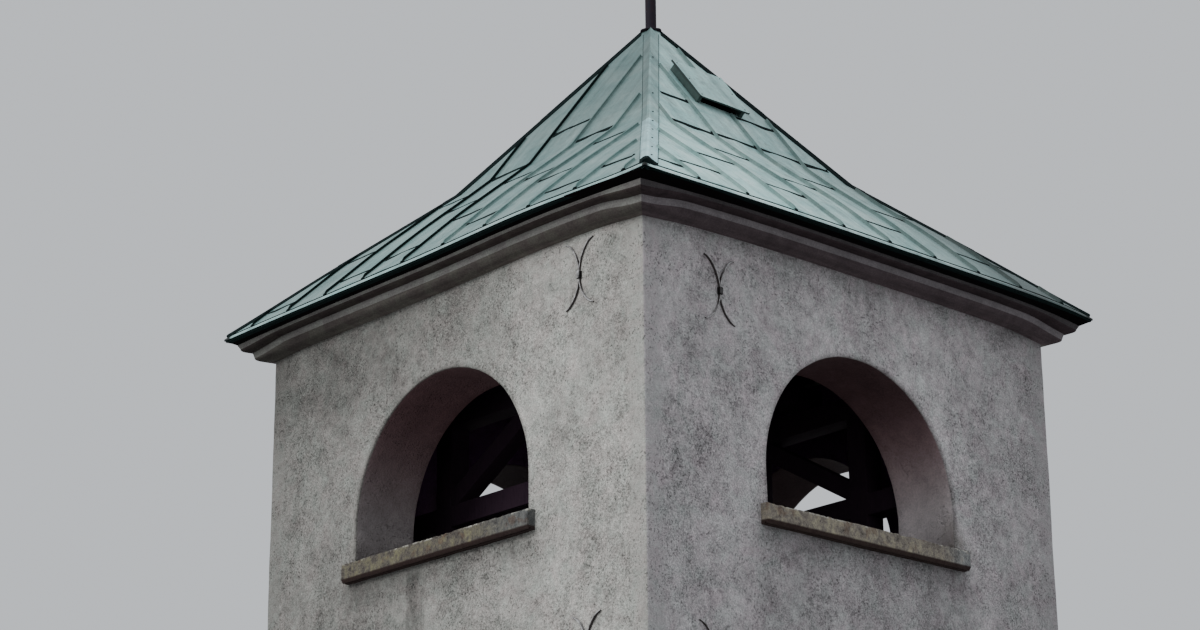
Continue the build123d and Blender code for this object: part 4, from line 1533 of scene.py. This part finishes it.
def weathered_sheet(name, colour, streaking=1.0, rough=0.50, turned_gain=0.0, front_gain=0.0):
    """Old painted sheet: chalky, each tray its own tone, with run-off streaks down the slope.

    turned_gain evens out a cap whose two flanges catch unlike light, and front_gain paints the front and
    back slopes lighter, making up for the light they lack.
    """
    f = Finish(name)
    along, out, on_side = face_masks(f)
    front = 1.0 - on_side
    spacing = SEAMS[0][0] + on_side * (SEAMS[1][0] - SEAMS[0][0])
    first = SEAMS[0][1] + on_side * (SEAMS[1][1] - SEAMS[0][1])
    part = (along - first) / spacing
    seed = part.floor() * 1.3 + on_side * 40.0 + f.x.step(-0.1, 0.1) * 7.0
    own = f.node("ShaderNodeTexWhiteNoise", {"noise_dimensions": "1D"}, {"W": seed})
    runs = f.noise(1.0, 4.0, 0.65, place=f.point(along * 13.0, out * 1.2, on_side * 9.0))
    clouds = f.noise(0.38, 5.0, 0.66, distortion=0.8)
    blots = f.noise(0.07, 4.0, 0.7, distortion=0.4)
    grain = f.noise(0.013, 3.0, 0.75)
    within = part.fraction()
    by_seam = within.step(0.13, 0.03) + within.step(0.87, 0.97)
    # Painted light and shade: lighter near the near hip on the side slopes, darker towards the back of the
    # side slopes and high on the front and back slopes.
    near_hip = (along * (1.0 - 2.0 * on_side)).step(0.2, 2.2)
    high = f.z.step(9.9, 11.3)
    far = (along * (2.0 * on_side - 1.0)).step(-0.6, 2.4)
    light_fall = (1.0 + 0.20 * near_hip * on_side + front_gain * front) * (1.0 - 0.94 * far * on_side)
    light_fall = light_fall * (1.0 - 0.36 * front * high)
    if turned_gain:
        light_fall = light_fall * (1.0 + turned_gain * (abs(f.nx) - abs(f.ny)).step(-0.3, 0.3))
    tone = 0.95 + spread(own, 0.20) + spread(clouds, 0.98) + spread(runs, 0.88 * streaking)
    tone = (tone + spread(blots, 0.58) + spread(grain, 0.55) - by_seam * 0.14) * light_fall
    tint = f.colours((clouds * 3.0 - 1.0).clipped(), (0.88, 1.02, 1.0), (1.10, 1.0, 0.97))
    base = f.product(tint, colour)
    stain = f.noise(0.16, 4.0, 0.65, stretch=(1.0, 1.0, 0.5)).step(0.58, 0.72) * 0.45
    shaded = f.colours(stain * streaking, f.shade(base, tone.most(0.15)), (0.13, 0.175, 0.155))
    # A black patch at the eaves' corners, painted as the shadow under the hip caps' feet.
    cap_foot_shadow = out.step(2.586, 2.594) * abs(along).step(2.50, 2.55)
    shaded = f.colours(cap_foot_shadow, shaded, (0.010, 0.015, 0.014))
    roughness = rough + spread(clouds, 0.16) + grain * 0.06
    return f.done(shaded, roughness, blots * 0.5 + grain * 0.25, 0.0018, 0.10, gloss=0.35)


def tar_and_shade_black():
    """Near-black: old tarry dirt over caps and in folds, and painted shade and shadow in gaps, under lips,
    below the drip and in the hatch hole.
    """
    f = Finish("old_tar_and_shade")
    blots = f.noise(0.05, 4.0, 0.6)
    colour = f.colours(blots, (0.002, 0.006, 0.006), (0.008, 0.018, 0.018))
    return f.done(colour, 0.85 + blots * 0.15, blots, 0.002, gloss=0.08)


def shade_black_boards():
    """Soffit boards that never see the sun, painted brown-black as their deep shade, with their grain along
    the eaves.
    """
    f = Finish("shade_black_boards")
    along, out, _ = face_masks(f)
    fibre = f.noise(1.0, 4.0, 0.7, place=f.point(along * 2.0, out * 90.0, f.z * 90.0))
    colour = f.colours(fibre, (0.0010, 0.0008, 0.0010), (0.0050, 0.0034, 0.0038))
    return f.done(colour, 0.95 - fibre * 0.04, fibre, 0.002, gloss=0.04)


def rusty_iron(name, base, rust, amount):
    """Dark iron with blotches and runs of rust."""
    f = Finish(name)
    blots = f.noise(0.045, 5.0, 0.65, distortion=0.4)
    streak = f.noise(0.03, 3.0, 0.6, stretch=(1.0, 1.0, 0.10))
    grain = f.noise(0.006, 2.0, 0.6)
    mask = ((blots + streak) * amount - 0.55).clipped()
    colour = f.shade(f.colours(mask, base, rust), 0.8 + grain * 0.4)
    return f.done(colour, 0.72 + mask * 0.2, blots * 0.6 + grain * 0.4, 0.002, 0.10, gloss=0.25)


def limed_iron(name, side_face_shade, bare_tone):
    """Iron limewashed on its outer face along with the wall, bare and rusty on its edges; its upward faces
    are painted limed as lit, its edges and undersides dark partly as shade, and the side faces' anchors keep
    less lime as painted shade.
    """
    f = Finish(name)
    on_side = face_masks(f)[2]
    blots = f.noise(0.035, 4.0, 0.65)
    grain = f.noise(0.010, 2.0, 0.6)
    outward = (abs(f.nx) * on_side + abs(f.ny) * (1.0 - on_side)).step(0.60, 0.85)
    covered = outward.most(f.nz.step(0.25, 0.6) * 0.8) * (blots * 2.2 - 0.35).clipped()
    covered = covered * (1.0 - side_face_shade * on_side)
    lime = f.colours(blots, (1.0, 0.97, 0.94), (0.98, 0.98, 1.0))
    lime = f.shade(lime, 0.50 + spread(blots, 0.5) + spread(grain, 0.3))
    bare = f.colours(grain, (1.0, 0.80, 0.74), (0.9, 0.8, 0.82))
    bare = f.shade(bare, bare_tone * (0.4 + blots * 1.2))
    colour = f.colours(covered, bare, lime)
    return f.done(colour, 0.92 - grain * 0.04, blots * 0.5 + grain * 0.5, 0.003, gloss=0.15)


def sawn_timber(name, light, dark, stretch, gloss=0.12):
    """Grained timber. The stretch is small along the grain."""
    f = Finish(name)
    fibre = f.noise(0.02, 4.0, 0.65, stretch=stretch)
    blots = f.noise(0.20, 3.0, 0.6)
    mask = (fibre * 0.8 + blots * 0.6 - 0.2).clipped()
    return f.done(f.colours(mask, dark, light), 0.86, fibre, 0.003, gloss=gloss)


def plain_floor():
    """The studio's even pale floor."""
    f = Finish("studio_floor")
    tone = f.noise(3.0, 2.0)
    return f.done(f.colours(tone, (0.44, 0.44, 0.435), (0.46, 0.46, 0.455)), 0.95)


render = weathered_render()
stone = lichened_stone()
# The hues of the cornice's plaster: two that mix on the front and back, and the side faces' one, pinker as
# painted shade
OVOLO_HUES = ((1.0, 0.84, 0.78), (0.98, 0.91, 0.79), (1.0, 0.76, 0.82))
UPPER_OVOLO_HUES = ((1.0, 0.74, 0.72), (1.0, 0.84, 0.74), (1.0, 0.70, 0.78))
FILLET_HUES = ((1.0, 0.94, 0.90), (0.98, 0.98, 0.90), (1.0, 0.90, 0.94))
# The ovolos are painted dark, partly as grime and partly as the shade under the cornice and eaves, the upper
# one darkest.
ovolo = plaster("grimy_shaded_ovolo", 0.112, 0.056, OVOLO_HUES, foot_gain=0.45)
upper_ovolo = plaster("upper_ovolo", 0.066, 0.028, UPPER_OVOLO_HUES, 0.22)
fillet = plaster("cornice_fillet", 0.240, 0.134, FILLET_HUES, 0.20, 0.60)
# Lit and shaded copies of one sheet: the darker is painted shade for the front and left slopes, the lighter
# painted light for the right and back slopes and the hatch lid. Their drip edges are painted lighter still,
# as where the hem catches light.
shaded_sheet = weathered_sheet("shaded_sheet", (0.240, 0.360, 0.355))
lit_sheet = weathered_sheet("lit_sheet", (0.580, 0.846, 0.834))
shaded_drip = weathered_sheet("shaded_drip", (0.40, 0.57, 0.57), 0.5, 0.45)
lit_drip = weathered_sheet("lit_drip", (0.70, 0.93, 0.93), 0.5, 0.45)
cap_sheet = weathered_sheet("cap_sheet", (0.215, 0.315, 0.310), turned_gain=0.8)
bare_sheet = weathered_sheet("bare_sheet", (0.35, 0.545, 0.57), 0.5, 0.42, turned_gain=0.45)
# The seams' sides are a darker sheet, partly grime and partly painted shade, painted lighter on the front
# and back slopes for the light they lack there.
seam_sheet = weathered_sheet("seam_sheet", (0.215, 0.330, 0.320), 0.7, 0.6, front_gain=0.12)
dark_sheet = weathered_sheet("dark_sheet", (0.060, 0.095, 0.088), 0.5, 0.7)
edge_sheet = weathered_sheet("edge_sheet", (0.022, 0.040, 0.037), 0.4, 0.7)
tar_and_shade = tar_and_shade_black()
soffit = shade_black_boards()
iron = rusty_iron("rusty_iron", (0.010, 0.008, 0.018), (0.045, 0.022, 0.022), 0.80)
limed = limed_iron("limed_iron", 0.15, 0.060)
limed_wedge = limed_iron("limed_wedge", 0.85, 0.012)
# The timbers and floor inside the belfry are painted near-black and purplish as its shade.
timber = sawn_timber("dark_timber", (0.044, 0.024, 0.038), (0.018, 0.010, 0.018), (1.0, 1.0, 0.15))
flooring = sawn_timber("floor_boards", (0.045, 0.032, 0.030), (0.016, 0.011, 0.012), (0.08, 1.0, 1.0))
door_wood = sawn_timber("door_planks", (0.11, 0.075, 0.05), (0.035, 0.024, 0.018), (1.0, 1.0, 0.06), 0.3)

belfry_stage(render)
lower_stage(render)
moulded_cornice([ovolo, fillet, upper_ovolo, render])
for quarter in range(4):
    sill(quarter, stone)
    # The front and left slopes take the shaded copy and the right and back slopes the lit one: painted shade
    # and painted light.
    sheet, drip = (shaded_sheet, shaded_drip) if quarter in (FRONT, LEFT) else (lit_sheet, lit_drip)
    roof_sheets(quarter, [seam_sheet, tar_and_shade, tar_and_shade, sheet, drip])
hip_cappings([cap_sheet, bare_sheet, tar_and_shade, iron])
roof_hatch([dark_sheet, lit_sheet, iron, edge_sheet])
finial([iron])
ironwork([limed, limed_wedge], [iron])
worn_timber("front_bell_frame", timber, 0.006, "front_bell_truss")
worn_timber("back_bell_frame", timber, 0.006, "back_bell_truss")
worn_timber("bell_frame_beams", timber, 0.006, "bell_cross_beams")
worn_timber("floor_joist_timbers", timber, 0.005, "floor_joists")
worn_timber("roof_tie_timber", timber, 0.005, "roof_tie_beam")
worn_timber("king_post_timber", timber, 0.005, "king_post")
worn_timber("hip_rafter_timbers", timber, 0.005, "hip_rafters")
belfry_floor(flooring, iron)
doorway([door_wood, iron], stone)
eaves_boarding(soffit)


# Camera, light and floor
# Fitted to the photo: the eye's place in metres, its turns in radians and the lens in millimetres
EYE = (16.060, -15.251, 1.644)
YAW, PITCH, ROLL = 0.8325, 0.3351, -0.0081
LENS = 82.447
FLOOR_HALF = 90.0


def camera_axes(yaw, pitch, roll):
    """The camera's right, up and forward directions."""
    level = Vector((math.cos(yaw), math.sin(yaw), 0.0))
    ahead = Vector((-math.sin(yaw), math.cos(yaw), 0.0))
    forward = ahead * math.cos(pitch) + Vector((0.0, 0.0, math.sin(pitch)))
    above = level.cross(forward)
    right = math.cos(roll) * level + math.sin(roll) * above
    up = -math.sin(roll) * level + math.cos(roll) * above
    return right, up, forward


right, up, forward = camera_axes(YAW, PITCH, ROLL)
lens = bpy.data.cameras.new("photo_camera")
lens.sensor_width = 36.0
lens.lens = LENS
lens.clip_end = 500.0
eye = bpy.data.objects.new("photo_camera", lens)
eye.matrix_world = Matrix((
    (right.x, up.x, -forward.x, EYE[0]),
    (right.y, up.y, -forward.y, EYE[1]),
    (right.z, up.z, -forward.z, EYE[2]),
    (0, 0, 0, 1),
))
bpy.context.scene.collection.objects.link(eye)
bpy.context.scene.camera = eye

world = bpy.data.worlds.new("pale_studio")
world.use_nodes = True
world.node_tree.nodes["Background"].inputs["Color"].default_value = (0.75, 0.78, 0.82, 1.0)
world.node_tree.nodes["Background"].inputs["Strength"].default_value = 0.9
bpy.context.scene.world = world

sun = bpy.data.lights.new("soft_key", "SUN")
sun.energy = 1.6
sun.angle = math.radians(30)
key = bpy.data.objects.new("soft_key", sun)
key.rotation_euler = Vector((0.15, 1.0, -0.55)).to_track_quat("-Z", "Y").to_euler()
bpy.context.scene.collection.objects.link(key)

floor_mesh = bpy.data.meshes.new("pale_floor")
floor_corners = [turned((-FLOOR_HALF, -FLOOR_HALF, 0.0), quarter) for quarter in range(4)]
floor_mesh.from_pydata(floor_corners, [], [(0, 1, 2, 3)])
floor = bpy.data.objects.new("pale_floor", floor_mesh)
floor.data.materials.append(plain_floor())
floor.location.z = -0.002
bpy.context.scene.collection.objects.link(floor)
